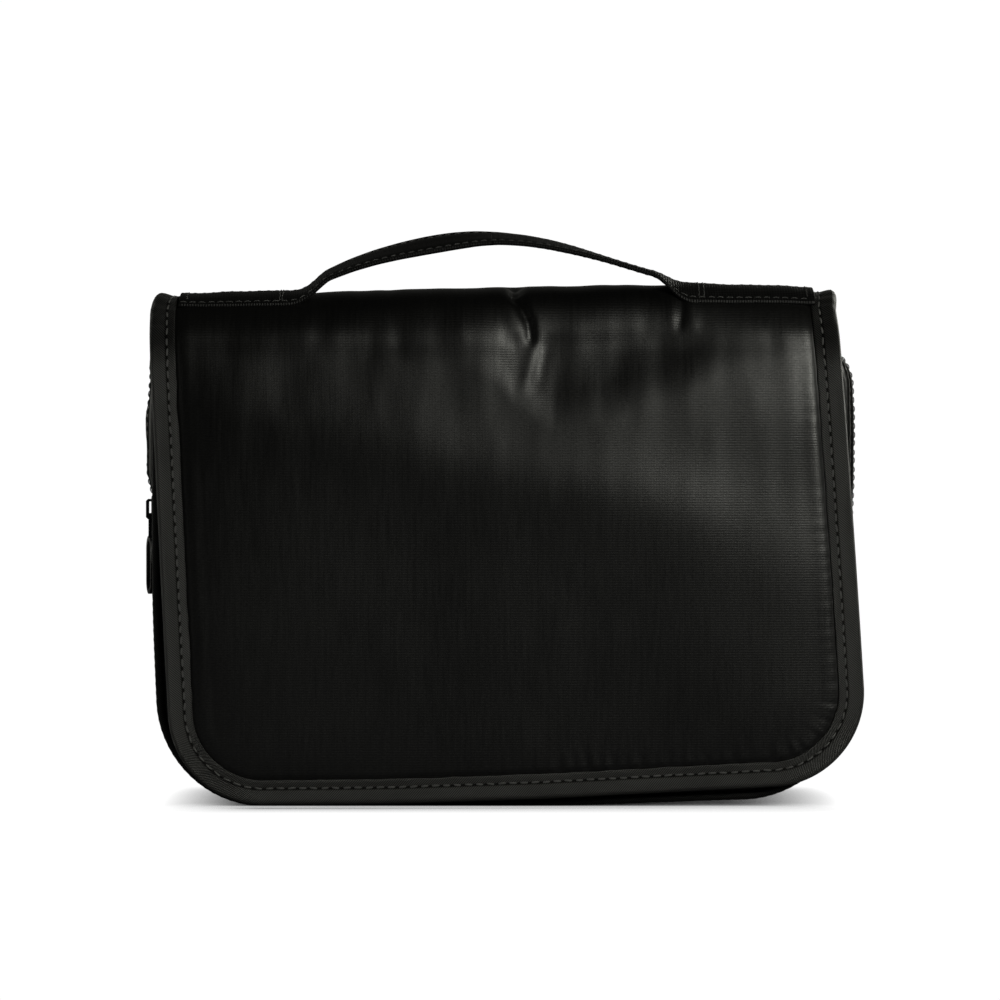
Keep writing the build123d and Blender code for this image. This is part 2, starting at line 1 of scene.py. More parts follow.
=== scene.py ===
"""A black padded nylon bag, closed: its flap hangs in front of a zipped pouch, with a spine on top.

The bag stands on z = 0. The flap faces -Y, the back panel +Y, and right is +X, as seen from the
front. Lengths are in mm up to make(), which turns them into metres; the stage is in metres.
The flap and the back are padded covers, each drawn flat in (x, arc): arc is the length up from
the base, then round the top fold and in to the middle of the spine.
"""
import bpy
import bmesh
import math
from collections import namedtuple

import numpy as np
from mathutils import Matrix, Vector


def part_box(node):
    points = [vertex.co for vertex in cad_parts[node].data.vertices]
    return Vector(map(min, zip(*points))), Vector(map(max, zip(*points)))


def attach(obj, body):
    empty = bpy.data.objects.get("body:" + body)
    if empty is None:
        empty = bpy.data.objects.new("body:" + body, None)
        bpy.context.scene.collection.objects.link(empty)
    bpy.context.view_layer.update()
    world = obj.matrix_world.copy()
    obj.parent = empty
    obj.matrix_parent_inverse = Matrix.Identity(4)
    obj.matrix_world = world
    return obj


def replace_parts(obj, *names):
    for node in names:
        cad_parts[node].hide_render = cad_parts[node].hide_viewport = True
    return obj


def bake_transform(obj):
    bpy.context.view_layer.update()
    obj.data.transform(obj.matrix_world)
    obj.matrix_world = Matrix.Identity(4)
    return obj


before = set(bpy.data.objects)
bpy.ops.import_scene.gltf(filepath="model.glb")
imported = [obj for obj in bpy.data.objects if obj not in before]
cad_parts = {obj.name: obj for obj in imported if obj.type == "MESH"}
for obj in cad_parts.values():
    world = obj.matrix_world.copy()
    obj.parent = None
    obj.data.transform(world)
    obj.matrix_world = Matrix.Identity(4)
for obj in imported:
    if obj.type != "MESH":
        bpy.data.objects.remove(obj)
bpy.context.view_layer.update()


# ------------------------------------------------------------------ sizes from the CAD frame
def low(node, axis):
    """Lower limit of a CAD piece along an axis, in mm."""
    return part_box(node)[0]["xyz".index(axis)] * 1000


def high(node, axis):
    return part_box(node)[1]["xyz".index(axis)] * 1000


def middle(node, axis):
    return (low(node, axis) + high(node, axis)) / 2


LINING_Y = high("flap_lining", "y")                  # inner face of the flap
FLAP_Y = (low("flap_cover", "y") + LINING_Y) / 2     # middle of the flap's thickness
TOP_Z = (high("spine_cover", "z") + low("spine_lining", "z")) / 2
HALF_T = (LINING_Y - low("flap_cover", "y")) / 2     # half the cover's thickness
HALF_W = high("gusset_lower", "x")                   # half width of the pouch
POUCH_FRONT = low("gusset_lower", "y")
POUCH_REAR = high("gusset_lower", "y")
POUCH_TOP = high("gusset_upper_rear", "z")
WALL_Y = low("front_panel_lower", "y")               # outer face of the pouch's front wall
MOUTH_Z = (high("front_panel_lower", "z") + high("gusset_lower", "z")) / 2
ZIP_Y = (high("main_zip_tape_front", "y") + low("main_zip_tape_rear", "y")) / 2


# ------------------------------------------------------------------ small maths
def smooth(start, end, value):
    """Eased step from 0 at start to 1 at end; start may be the larger."""
    t = np.clip((np.asarray(value, float) - start) / (end - start), 0, 1)
    return t * t * (3 - 2 * t)


def bell(offset, width):
    return np.exp(-(offset / width) ** 2)


def hashed(x, y, seed):
    """Repeatable random value from -1 to 1 for each whole-numbered cell."""
    h = (x.astype(np.int64) * 374761393 + y.astype(np.int64) * 668265263
         + seed * 974634777) & 0xFFFFFFFF
    h = ((h ^ (h >> 13)) * 1274126177) & 0xFFFFFFFF
    return ((h ^ (h >> 16)) & 0xFFFFFF) / float(0xFFFFFF) * 2 - 1


def vnoise(x, y, seed):
    """Value noise from -1 to 1, with one cell per unit."""
    x, y = np.broadcast_arrays(np.asarray(x, float), np.asarray(y, float))
    cell_x, cell_y = np.floor(x), np.floor(y)
    part_x, part_y = (p * p * p * (p * (p * 6 - 15) + 10) for p in (x - cell_x, y - cell_y))

    def row(j):
        return (hashed(cell_x, cell_y + j, seed) * (1 - part_x)
                + hashed(cell_x + 1, cell_y + j, seed) * part_x)

    return row(0) * (1 - part_y) + row(1) * part_y


def fbm(x, y, seed, octaves):
    """Layers of value noise, each twice as fine and half as strong."""
    total, amp, norm = 0, 1.0, 0
    for k in range(octaves):
        total = total + amp * vnoise(np.asarray(x) * 2 ** k, np.asarray(y) * 2 ** k, seed + 17 * k)
        norm += amp
        amp *= 0.5
    return total / norm


def columns(*parts):
    """Stack values, broadcast to one shape, along a new last axis."""
    return np.stack(np.broadcast_arrays(*parts), -1)


def unit(vectors):
    return vectors / np.maximum(np.linalg.norm(vectors, axis=-1, keepdims=True), 1e-9)


def lengths(points):
    """Running length along a polyline."""
    return np.concatenate([[0], np.cumsum(np.linalg.norm(np.diff(points, axis=0), axis=1))])


def at_length(wanted, run, points):
    """Values at the wanted running lengths, column by column."""
    return np.stack([np.interp(wanted, run, column) for column in points.T], -1)


def resample(points, count):
    run = lengths(points)
    return at_length(np.linspace(0, run[-1], count), run, points)


def relax(values, times=1):
    """Average each inner row with its neighbours, in place."""
    for _ in range(times):
        values[1:-1] = (values[:-2] + 2 * values[1:-1] + values[2:]) / 4


def softened(x, table, spread):
    """A two-row table (x, value) read at x and spread to each side, then averaged."""
    near = np.asarray(x, float)[..., None] + np.array([-spread, 0.0, spread])
    return np.interp(near, *table).mean(-1)


def fillet_line(points, radii, step=0.7):
    """Open polyline with its inner corners rounded, as evenly spaced points."""
    points = [np.array(p, float) for p in points]
    out = [points[0]]
    for before, corner, after, radius in zip(points, points[1:], points[2:], radii):
        back, ahead = unit(before - corner), unit(after - corner)
        angle = math.acos(float(np.clip(back @ ahead, -1, 1)))
        if radius <= 0 or angle > math.pi - 1e-3:
            out.append(corner)
            continue
        reach = radius / math.tan(angle / 2)
        centre = corner + unit(back + ahead) * (radius / math.sin(angle / 2))
        first = math.atan2(*(corner + back * reach - centre)[::-1])
        last = math.atan2(*(corner + ahead * reach - centre)[::-1])
        turn = (last - first + math.pi) % (2 * math.pi) - math.pi
        for q in np.linspace(0, 1, max(4, int(abs(turn) * radius / step))):
            here = first + turn * q
            out.append(centre + radius * np.array([math.cos(here), math.sin(here)]))
    out.append(points[-1])
    out = np.array(out)
    return resample(out, max(8, int(lengths(out)[-1] / step)))


def left_normals(points):
    """Normals of a 2-D polyline, to the left of its direction."""
    ahead = unit(np.gradient(points, axis=0))
    return columns(-ahead[:, 1], ahead[:, 0])


def dist_to(points, line):
    """Distance and nearest index from each 2-D point to a dense polyline."""
    flat = points.reshape(-1, 2)
    best = np.full(len(flat), 1e9)
    nearest = np.zeros(len(flat), int)
    for k in range(0, len(flat), 4000):
        dist = np.linalg.norm(flat[k:k + 4000, None, :] - line[None, :, :], axis=2)
        nearest[k:k + 4000] = dist.argmin(1)
        best[k:k + 4000] = dist.min(1)
    return best.reshape(points.shape[:-1]), nearest.reshape(points.shape[:-1])


def segment_dist(x, z, x0, z0, x1, z1):
    """Distance to a segment, and the share of its length at the nearest place."""
    dx, dz = x1 - x0, z1 - z0
    share = np.clip(((x - x0) * dx + (z - z0) * dz) / (dx * dx + dz * dz), 0, 1)
    return np.hypot(x - (x0 + share * dx), z - (z0 + share * dz)), share


def patch(bottom, top, left, right):
    """Grid of points spanned between four edges that share their corners."""
    t = np.linspace(0, 1, len(bottom))[None, :, None]
    r = np.linspace(0, 1, len(left))[:, None, None]
    return ((1 - r) * bottom + r * top + (1 - t) * left[:, None] + t * right[:, None]
            - ((1 - r) * (1 - t) * bottom[0] + (1 - r) * t * bottom[-1]
               + r * (1 - t) * top[0] + r * t * top[-1]))


# ------------------------------------------------------------------ meshes
def assign(target, **values):
    for key, value in values.items():
        setattr(target, key, value)


def make(name, verts, faces, uv, mats, face_mats=None, body=None, slot=None):
    mesh = bpy.data.meshes.new(name)
    mesh.from_pydata((np.asarray(verts, float) * 0.001).tolist(), [], faces)
    mesh.update()
    bm = bmesh.new()
    bm.from_mesh(mesh)
    bmesh.ops.recalc_face_normals(bm, faces=bm.faces)
    bm.to_mesh(mesh)
    bm.free()
    layer = mesh.uv_layers.new(name="UV")
    corners = np.zeros(len(mesh.loops), int)
    mesh.loops.foreach_get("vertex_index", corners)
    layer.data.foreach_set("uv", np.asarray(uv, np.float32)[corners].ravel())
    for mat in mats:
        mesh.materials.append(mat)
    if face_mats is not None:
        mesh.polygons.foreach_set("material_index", np.asarray(face_mats, np.int32))
    mesh.polygons.foreach_set("use_smooth", np.ones(len(mesh.polygons), bool))
    obj = bpy.data.objects.new(name, mesh)
    bpy.context.scene.collection.objects.link(obj)
    if body:
        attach(obj, body)
    return obj


def quad_grid(rows, cols, first=0):
    r, c = np.meshgrid(np.arange(rows - 1), np.arange(cols - 1), indexing="ij")
    a = first + r * cols + c
    return np.stack([a, a + 1, a + cols + 1, a + cols], -1).reshape(-1, 4)


def slab(name, top, bottom, uv, mats, bottom_mat=0, **owner):
    """Closed sheet between an outer and an inner grid of points."""
    rows, cols = top.shape[:2]
    count = rows * cols
    upper, lower = quad_grid(rows, cols), quad_grid(rows, cols, count)[:, ::-1]
    ring = np.concatenate([
        np.arange(cols), np.arange(1, rows) * cols + cols - 1,
        (rows - 1) * cols + np.arange(cols - 2, -1, -1), np.arange(rows - 2, 0, -1) * cols])
    after = np.roll(ring, -1)
    rim = np.stack([ring, ring + count, after + count, after], 1)
    face_mats = np.concatenate(
        [np.zeros(len(upper)), np.full(len(lower), bottom_mat), np.zeros(len(rim))])
    return make(name, np.concatenate([top.reshape(-1, 3), bottom.reshape(-1, 3)]),
                np.concatenate([upper, lower, rim]).tolist(),
                np.concatenate([uv.reshape(-1, 2)] * 2), mats, face_mats, **owner)


def tube_faces(count, sides, closed=False, first=0):
    """Quads round a row of rings, then a cap on each end unless the row is closed."""
    k, m = np.meshgrid(np.arange(count if closed else count - 1), np.arange(sides), indexing="ij")
    k2, m2 = (k + 1) % count, (m + 1) % sides
    quads = np.stack([k * sides + m, k * sides + m2, k2 * sides + m2, k2 * sides + m], -1)
    last = first + (count - 1) * sides
    caps = [] if closed else [list(range(first, first + sides))[::-1],
                              list(range(last, last + sides))]
    return (quads.reshape(-1, 4) + first).tolist() + caps


def tube(name, rings, uv, mats, closed=False, **owner):
    """Surface through a row of rings, each a closed loop of points."""
    return make(name, rings.reshape(-1, 3), tube_faces(*rings.shape[:2], closed),
                uv.reshape(-1, 2), mats, **owner)


def beads(name, parts, mat, **owner):
    """Many small closed pieces, each a row of rings, in one mesh."""
    verts, faces, uvs, first = [], [], [], 0
    for rings in parts:
        count, sides = rings.shape[:2]
        faces += tube_faces(count, sides, first=first)
        verts.append(rings.reshape(-1, 3))
        uvs.append(columns(np.arange(count)[:, None] * 0.6, np.arange(sides) * 0.4).reshape(-1, 2))
        first += count * sides
    return make(name, np.concatenate(verts), faces, np.concatenate(uvs), [mat], **owner)


# Stations along one dash of thread: place, share of the radius, height (below 0 it sinks in).
DASH = np.array([
    (-0.5, 0.45, -1.0), (-0.42, 0.85, -0.35), (-0.2, 1.0, 0.6), (0.0, 1.0, 1.0),
    (0.2, 1.0, 0.6), (0.42, 0.85, -0.35), (0.5, 0.45, -1.0)]).T


def stitches(line, normal, pitch, dash, radius, seed, sink=0.25, lift=0.12):
    """Thread dashes along a 3-D line that lies on a surface."""
    normal = unit(np.broadcast_to(normal, line.shape))
    run = lengths(line)
    count = int(run[-1] / pitch)
    place, share, height = DASH
    shift = hashed(np.arange(count), np.zeros(count), seed + 5)
    stretch = hashed(np.arange(count), np.ones(count), seed + 9)
    turn = np.arange(6) / 6 * 2 * math.pi
    parts = []
    for k in range(count):
        at = (k + 0.5) * pitch + 0.12 * shift[k] + place * dash * (1 + 0.07 * stretch[k])
        spine = at_length(at, run, line)
        up = unit(at_length(at, run, normal))
        across = np.cross(up, unit(np.gradient(spine, axis=0)))
        spine = spine + across * (place * 0.35 * shift[k] + 0.06 * stretch[k])[:, None]
        stand = np.where(height < 0, height * sink, height * lift)
        spine = spine + up * (stand + radius * 0.35)[:, None]
        parts.append(spine[:, None, :] + (share * radius)[:, None, None] * (
            up[:, None, :] * np.sin(turn)[None, :, None]
            + across[:, None, :] * np.cos(turn)[None, :, None]))
    return parts


def bars(centres, long_axis, wide_axis, up, length, width, height):
    """Rounded bars that stand up from a surface."""
    section_w = np.array([-0.5, -0.42, -0.18, 0.18, 0.42, 0.5]) * width
    section_h = np.array([0.0, 0.62, 1.0, 1.0, 0.62, 0.0]) * height
    stations = np.array([-0.5, -0.44, 0.0, 0.44, 0.5])[:, None, None] * length
    taper = np.array([0.8, 1, 1, 1, 0.8])[:, None, None]
    axes = [np.broadcast_to(axis, centres.shape) for axis in (long_axis, wide_axis, up)]
    return [centre + ahead * stations + wide * (section_w[None, :, None] * taper)
            + tall * (section_h[None, :, None] * taper)
            for centre, ahead, wide, tall in zip(centres, *axes)]


# ------------------------------------------------------------------ shader building
class Nodes:
    """Short calls that add shader nodes; an input takes a value or another node's output."""

    def __init__(self, owner):
        owner.use_nodes = True
        self.tree = owner.node_tree
        self.tree.nodes.clear()

    def put(self, socket, value):
        if isinstance(value, bpy.types.NodeSocket):
            self.tree.links.new(value, socket)
        elif isinstance(value, tuple):
            socket.default_value = (*value, 1)
        else:
            socket.default_value = value

    def add(self, kind, inputs=(), output=0, **settings):
        node = self.tree.nodes.new("ShaderNode" + kind)
        assign(node, **settings)
        for key, value in dict(inputs).items():
            self.put(node.inputs[key], value)
        return node.outputs[output]

    def end(self, kind, shader):
        self.put(self.tree.nodes.new("ShaderNode" + kind).inputs[0], shader)

    def math(self, operation, *values, clamp=False):
        return self.add("Math", enumerate(values), operation=operation, use_clamp=clamp)

    def times(self, a, b, clamp=False):
        return self.math("MULTIPLY", a, b, clamp=clamp)

    def blend(self, *terms):
        """Weighted sum of (value, weight) terms."""
        total = self.times(*terms[0])
        for term in terms[1:]:
            total = self.math("ADD", total, self.times(*term))
        return total

    def remap(self, value, source, target):
        return self.add("MapRange", enumerate((value, *source, *target)))

    def mix(self, factor, a, b):
        return self.add("Mix", {0: factor, 6: a, 7: b}, 2, data_type="RGBA")

    def split(self, vector):
        """The x and y of a vector."""
        node = self.tree.nodes.new("ShaderNodeSeparateXYZ")
        self.put(node.inputs[0], vector)
        return node.outputs[0], node.outputs[1]


class Material(Nodes):
    """A principled material; cloth patterns are laid out in UV millimetres."""

    def __init__(self, name):
        self.data = bpy.data.materials.new(name)
        super().__init__(self.data)
        self.shader = self.tree.nodes.new("ShaderNodeBsdfPrincipled")
        self.end("OutputMaterial", self.shader.outputs[0])

    def set(self, **values):
        for key, value in values.items():
            self.put(self.shader.inputs[key.replace("_", " ")], value)

    def uv_vector(self):
        return self.add("UVMap", uv_map="UV")

    def uv(self):
        return self.split(self.uv_vector())

    def noise(self, vector, scale, detail, rough):
        return self.add("TexNoise", {"Vector": vector, "Scale": scale, "Detail": detail,
                                     "Roughness": rough})

    def cloth_noise(self, x, y, per_x, per_y, detail=3.0, rough=0.5):
        """Noise with its own number of cells per mm along x and y."""
        vector = self.add("CombineXYZ", {0: self.times(x, per_x), 1: self.times(y, per_y)})
        return self.noise(vector, 1.0, detail, rough)

    def wave(self, value, period, phase=None):
        """Sine of a coordinate in mm, from 0 to 1."""
        angle = self.times(value, 2 * math.pi / period)
        if phase is not None:
            angle = self.math("ADD", angle, phase)
        return self.math("MULTIPLY_ADD", self.math("SINE", angle), 0.5, 0.5)

    def finish(self, height, depth, strength=1.0):
        """Bump the surface by a height map, depth in metres, and hand over the material."""
        self.set(Normal=self.add("Bump", {"Strength": strength, "Distance": depth,
                                          "Height": height}))
        return self.data


MID, FULL = (0.3, 0.7), (0.0, 1.0)      # the usual range of a noise, and of a wave


def grey(value, blue=None):
    return value, value, value if blue is None else blue


def ribbed_nylon(name, dark, light, rough, sheen, specular=0.62):
    mat = Material(name)
    x, y = mat.uv()
    wobble = mat.cloth_noise(x, y, 0.05, 0.7, detail=2.0)
    ribs = mat.wave(y, 0.86, phase=mat.times(wobble, 2.2))
    warp = mat.wave(x, 0.52)
    streak = mat.cloth_noise(x, y, 0.9, 0.06, rough=0.6)
    fibre = mat.cloth_noise(x, y, 0.7, 2.6, rough=0.7)
    broad = mat.cloth_noise(x, y, 0.012, 0.012, rough=0.55)
    shade = mat.blend((ribs, 0.35), (fibre, 0.35), (broad, 0.3))
    mat.set(Base_Color=mat.mix(shade, dark, light),
            Roughness=mat.math("ADD", mat.remap(broad, MID, (rough - 0.05, rough + 0.06)),
                               mat.remap(streak, (0.25, 0.75), (-0.05, 0.05))),
            Specular_IOR_Level=mat.remap(fibre, (0.2, 0.8), (specular * 0.5, specular)),
            Sheen_Weight=sheen, Sheen_Roughness=0.45)
    return mat.finish(mat.blend((ribs, 0.42), (warp, 0.14), (fibre, 0.75)), 0.000034)


def twill(name, dark, light, pitch, rough=0.5, depth=0.00012, slope=0.9, specular=0.6, seam=None):
    """Diagonal ribs, with painted shade (darker, flatter in tone, less shiny) where the point
    attribute marks the top fold and along a seam.
    """
    mat = Material(name)
    x, y = mat.uv()
    # painted shade: a point attribute, set by edge_tape() round the top fold, darkens the ribs and
    # dulls their shine
    painted_fold_shade = mat.add("Attribute", output="Fac", attribute_name="painted_fold_shade")
    keep = mat.remap(painted_fold_shade, FULL, (1.0, 0.25))
    wobble = mat.cloth_noise(x, y, 0.3, 0.3, detail=2.0)
    diagonal = mat.math("ADD", x, mat.times(y, slope))
    ribs = mat.wave(diagonal, pitch, phase=mat.times(wobble, 1.4))
    counter = mat.wave(mat.math("SUBTRACT", y, mat.times(x, 0.6)), 0.5)
    worn = mat.cloth_noise(x, y, 0.06, 0.25, detail=4.0, rough=0.65)
    height = mat.blend((ribs, 0.75), (counter, 0.25))
    shade = mat.times(mat.times(height, height), mat.remap(worn, MID, (0.75, 1.6)), clamp=True)
    shade = mat.times(shade, keep)
    shine = mat.times(mat.remap(ribs, FULL, (specular * 0.45, specular)), keep)
    # painted shade in the stitch groove: darker, less shiny ribs near the seam line
    if seam is not None:
        off_seam = mat.math("ABSOLUTE", mat.math("SUBTRACT", y, seam))
        near = mat.remap(off_seam, (0.25, 0.8), (0.15, 1.0))
        shade = mat.times(shade, near)
        shine = mat.times(shine, near)
    mat.set(Base_Color=mat.mix(shade, dark, light), Specular_IOR_Level=shine,
            Roughness=mat.remap(worn, MID, (rough - 0.06, rough + 0.1)),
            Sheen_Weight=0.05, Sheen_Roughness=0.5)
    return mat.finish(height, depth)


def plain_weave(name, dark, light, pitch, rough):
    mat = Material(name)
    x, y = mat.uv()
    check = mat.math("ABSOLUTE", mat.math("SUBTRACT", mat.wave(x, pitch), mat.wave(y, pitch)))
    broad = mat.cloth_noise(x, y, 0.15, 0.15, detail=4.0, rough=0.6)
    fine = mat.cloth_noise(x, y, 2.0, 2.0, detail=2.0, rough=0.6)
    mat.set(Base_Color=mat.mix(mat.blend((check, 0.5), (broad, 0.5)), dark, light),
            Roughness=mat.remap(broad, MID, (rough - 0.05, rough + 0.08)), Sheen_Weight=0.15)
    return mat.finish(mat.blend((check, 0.7), (fine, 0.3)), 0.00008)


def cross_ribbed(name, dark, light, pitch, rough, depth=0.0002, sheen=0.2, specular=0.5):
    """Webbing and elastic: ribs across the length, with warp threads along it."""
    mat = Material(name)
    x, y = mat.uv()
    broad = mat.cloth_noise(x, y, 0.4, 0.4, rough=0.6)
    ribs = mat.wave(x, pitch, phase=mat.times(broad, 0.9))
    height = mat.blend((ribs, 0.6), (mat.wave(y, 0.8), 0.4))
    shade = mat.times(height, mat.remap(broad, MID, (0.6, 1.2)), clamp=True)
    mat.set(Base_Color=mat.mix(shade, dark, light),
            Roughness=mat.remap(broad, MID, (rough - 0.05, rough + 0.1)),
            Sheen_Weight=sheen, Specular_IOR_Level=specular)
    return mat.finish(height, depth)


def thread(name, dark, light):
    mat = Material(name)
    twist = mat.wave(mat.math("ADD", *mat.uv()), 0.45)
    mat.set(Base_Color=mat.mix(twist, dark, light), Sheen_Weight=0.02,
            Roughness=mat.remap(twist, FULL, (0.32, 0.5)))
    return mat.finish(twist, 0.00005, strength=0.8)


def netting(name, dark, light, cell=2.2):
    mat = Material(name)
    x, y = mat.uv()
    strands = [mat.math("ABSOLUTE", mat.math("SINE", mat.times(mat.math(way, x, y),
                                                               math.pi / cell)))
               for way in ("ADD", "SUBTRACT")]
    hole = mat.math("MINIMUM", *strands)
    grain = mat.cloth_noise(x, y, 1.5, 1.5)
    mat.set(Base_Color=mat.mix(grain, dark, light), Roughness=mat.remap(grain, MID, (0.4, 0.6)),
            Alpha=mat.remap(hole, (0.42, 0.5), (1.0, 0.0)))
    return mat.finish(mat.remap(hole, (0.0, 0.5), (1.0, 0.0)), 0.0003)


def plastic(name, dark, light, rough, use_uv=False):
    mat = Material(name)
    vector = mat.uv_vector() if use_uv else mat.add("TexCoord", output="Object")
    per_mm = 1.0 if use_uv else 1000.0
    fine = mat.noise(vector, 1.6 * per_mm, 3.0, 0.6)
    broad = mat.noise(vector, 0.12 * per_mm, 3.0, 0.5)
    mat.set(Base_Color=mat.mix(mat.times(fine, broad), dark, light),
            Roughness=mat.math("ADD", mat.remap(broad, MID, (rough - 0.06, rough + 0.06)),
                               mat.remap(fine, MID, (-0.03, 0.03))))
    return mat.finish(fine, 0.00003, strength=0.7)


def black_metal(name):
    """Black enamel over zinc, worn a little on its edges."""
    mat = Material(name)
    vector = mat.add("TexCoord", output="Object")
    fine = mat.noise(vector, 900.0, 4.0, 0.6)
    broad = mat.noise(vector, 160.0, 3.0, 0.5)
    edge = mat.remap(mat.add("NewGeometry", output="Pointiness"), (0.54, 0.66), FULL)
    worn = mat.times(edge, mat.remap(broad, (0.4, 0.65), FULL), clamp=True)
    colour = mat.mix(worn, grey(0.012), grey(0.16, 0.155))
    mat.set(Base_Color=mat.mix(mat.remap(fine, (0.4, 0.7), (0.0, 0.4)), colour, grey(0.03)),
            Metallic=mat.remap(worn, FULL, (0.55, 0.9)),
            Roughness=mat.remap(broad, MID, (0.2, 0.34)), Coat_Weight=0.4, Coat_Roughness=0.15)
    return mat.finish(fine, 0.00002, strength=0.6)


def pile(name, dark, light, hooks=False):
    mat = Material(name)
    vector = mat.uv_vector()
    fuzz = mat.noise(vector, 3.2, 4.0, 0.75)
    height = mat.times(*(mat.wave(c, 1.1) for c in mat.split(vector))) if hooks else fuzz
    mat.set(Base_Color=mat.mix(height, dark, light), Sheen_Weight=0.5,
            Roughness=mat.remap(fuzz, MID, (0.75, 0.95)))
    return mat.finish(mat.blend((height, 0.7), (fuzz, 0.3)), 0.0006)


NYLON = ribbed_nylon("nylon_satin", grey(0.0008), grey(0.0034, 0.0032), rough=0.4, sheen=0.02)
# painted shade: the pouch's gusset and zip lips use the same nylon as its front wall (WALL), painted
# about four times darker
POUCH = ribbed_nylon("nylon_pouch_painted_shade", grey(0.0015), grey(0.008, 0.0078), rough=0.5, sheen=0.03,
                     specular=0.26)
WALL = ribbed_nylon("nylon_front_wall", grey(0.007), grey(0.03, 0.0295), rough=0.42, sheen=0.05,
                    specular=0.5)
LINING = plain_weave("lining_taffeta", grey(0.03, 0.0305), grey(0.09, 0.091), pitch=0.6, rough=0.5)
# the edge tape's twill gets painted shade in its stitch groove (seam) and round the top fold
EDGE_TAPE = twill("edge_tape_twill", grey(0.0015), grey(0.094, 0.09), pitch=0.8, rough=0.4,
                  depth=0.00026, specular=1.0, seam=3.2)
HEM = twill("hem_tape", grey(0.008), grey(0.08, 0.079), pitch=0.9)
THREAD = thread("sewing_thread", grey(0.04, 0.039), grey(0.19, 0.185))
THREAD_DARK = thread("strap_thread", grey(0.02, 0.0195), grey(0.10, 0.098))
STRAP = cross_ribbed("strap_fabric", grey(0.0008), grey(0.0042, 0.004), pitch=0.9, rough=0.5,
                     depth=0.00016, sheen=0.02, specular=0.26)
WEBBING = cross_ribbed("webbing", grey(0.006), grey(0.03), pitch=1.4, rough=0.6)
ELASTIC = cross_ribbed("elastic_band", grey(0.009), grey(0.05), pitch=1.0, rough=0.65,
                       depth=0.00025)
ZIP_TAPE = twill("zip_tape_weave", grey(0.003), grey(0.017), pitch=0.75, rough=0.6, depth=0.0001,
                 slope=1.6)
COIL = plastic("zip_coil_nylon", grey(0.004), grey(0.02), rough=0.3, use_uv=True)
PLASTIC = plastic("hook_nylon", grey(0.008), grey(0.03), rough=0.34)
METAL = black_metal("black_enamel")
NET = netting("net", grey(0.012), grey(0.085, 0.084))
LOOP_PILE = pile("loop_pile", grey(0.006), grey(0.045))
HOOK_PILE = pile("hook_pile", grey(0.005), grey(0.05), hooks=True)
PIPING = twill("piping_fabric", grey(0.004), grey(0.02), pitch=0.8)


# ------------------------------------------------------------------ middle surface of the covers
class Fold:
    """A top fold: its radius, and the arc lengths of its start, its end and the spine's middle."""

    def __init__(self, radius):
        self.radius = radius
        self.start = TOP_Z - radius
        self.stop = self.start + radius * math.pi / 2
        self.centre = self.stop + (abs(FLAP_Y) - radius)


FRONT, REAR = Fold(14.0), Fold(9.0)
FOLDS = {-1: FRONT, 1: REAR}        # sign -1 is the flap's side, +1 the back's


def sagged(x, y, z, sign=1):
    """Near its base the pouch and the back lean to the right and stand higher there."""
    if sign < 0:
        return columns(x, y, z)
    lean = 2.4 * (1 - smooth(0, 80, z))
    rise = 2.6 * smooth(0, 105, x) * (1 - smooth(0, 70, z))
    return columns(x + lean, y, z + rise)


def cover_point(x, arc, sign):
    """Points and outward normals of a cover's flat middle surface."""
    fold = FOLDS[sign]
    arc = np.asarray(arc, float)
    turn = np.clip((arc - fold.start) / fold.radius, 0, math.pi / 2)
    fold_y = fold.radius - abs(FLAP_Y)
    y = np.where(arc > fold.stop, fold_y + (arc - fold.stop), fold_y - fold.radius * np.cos(turn))
    z = np.where(arc < fold.start, arc,
                 np.where(arc > fold.stop, TOP_Z, fold.start + fold.radius * np.sin(turn)))
    return sagged(x, -sign * y, z, sign), columns(0.0, sign * np.cos(turn), np.sin(turn))


# Outlines of the two covers, open at the top: (x, arc) corners, then the radii of the inner ones.
flap_outline = fillet_line(
    [(-115.2, FRONT.centre), (-115.6, 176), (-116, 168), (-107.7, 1.0), (-35, 1.8), (15, 3.5),
     (124.2, 9.2), (113.5, 168), (114.6, 177), (115.2, FRONT.centre)],
    [8, 14, 31, 60, 60, 31, 14, 8])
back_outline = fillet_line(
    [(-115.2, REAR.centre), (-115.4, 100), (-115.4, 0.7), (115.4, 0.7), (115.4, 100),
     (115.2, REAR.centre)],
    [0, 34.5, 34.5, 0])

# How high the spine is stuffed. Rows: x, height.
SPINE_HEIGHT = (
    [-116, -108, -99, -82, -60, -32, -7, 18, 43, 58, 68, 85, 101, 116],
    [1.4, 0.6, 0.6, 1.1, 1.3, 2.7, 3.4, 3.7, 4.2, 4.4, 3.6, 2.7, 2.4, 1.6])
# Uneven line above which the flap leans back into the top fold. Rows: x, arc.
LEAN_LINE = (
    [-115, -90, -66, -30, -12, 0, 6, 19, 35, 59, 75, 90, 115],
    [148, 145, 147, 145, 147, 141, 133, 126, 127, 136, 143, 147, 150])
# Long soft swells of the flap: x and arc of both ends, width, height.
SWELLS = (
    (-112, 146, 92, 84, 22, 1.1), (-84, 133, 62, 101, 13, 0.8),
    (40, 128, 150, 136, 20, 0.8), (-20, 60, 40, 40, 32, -0.9))
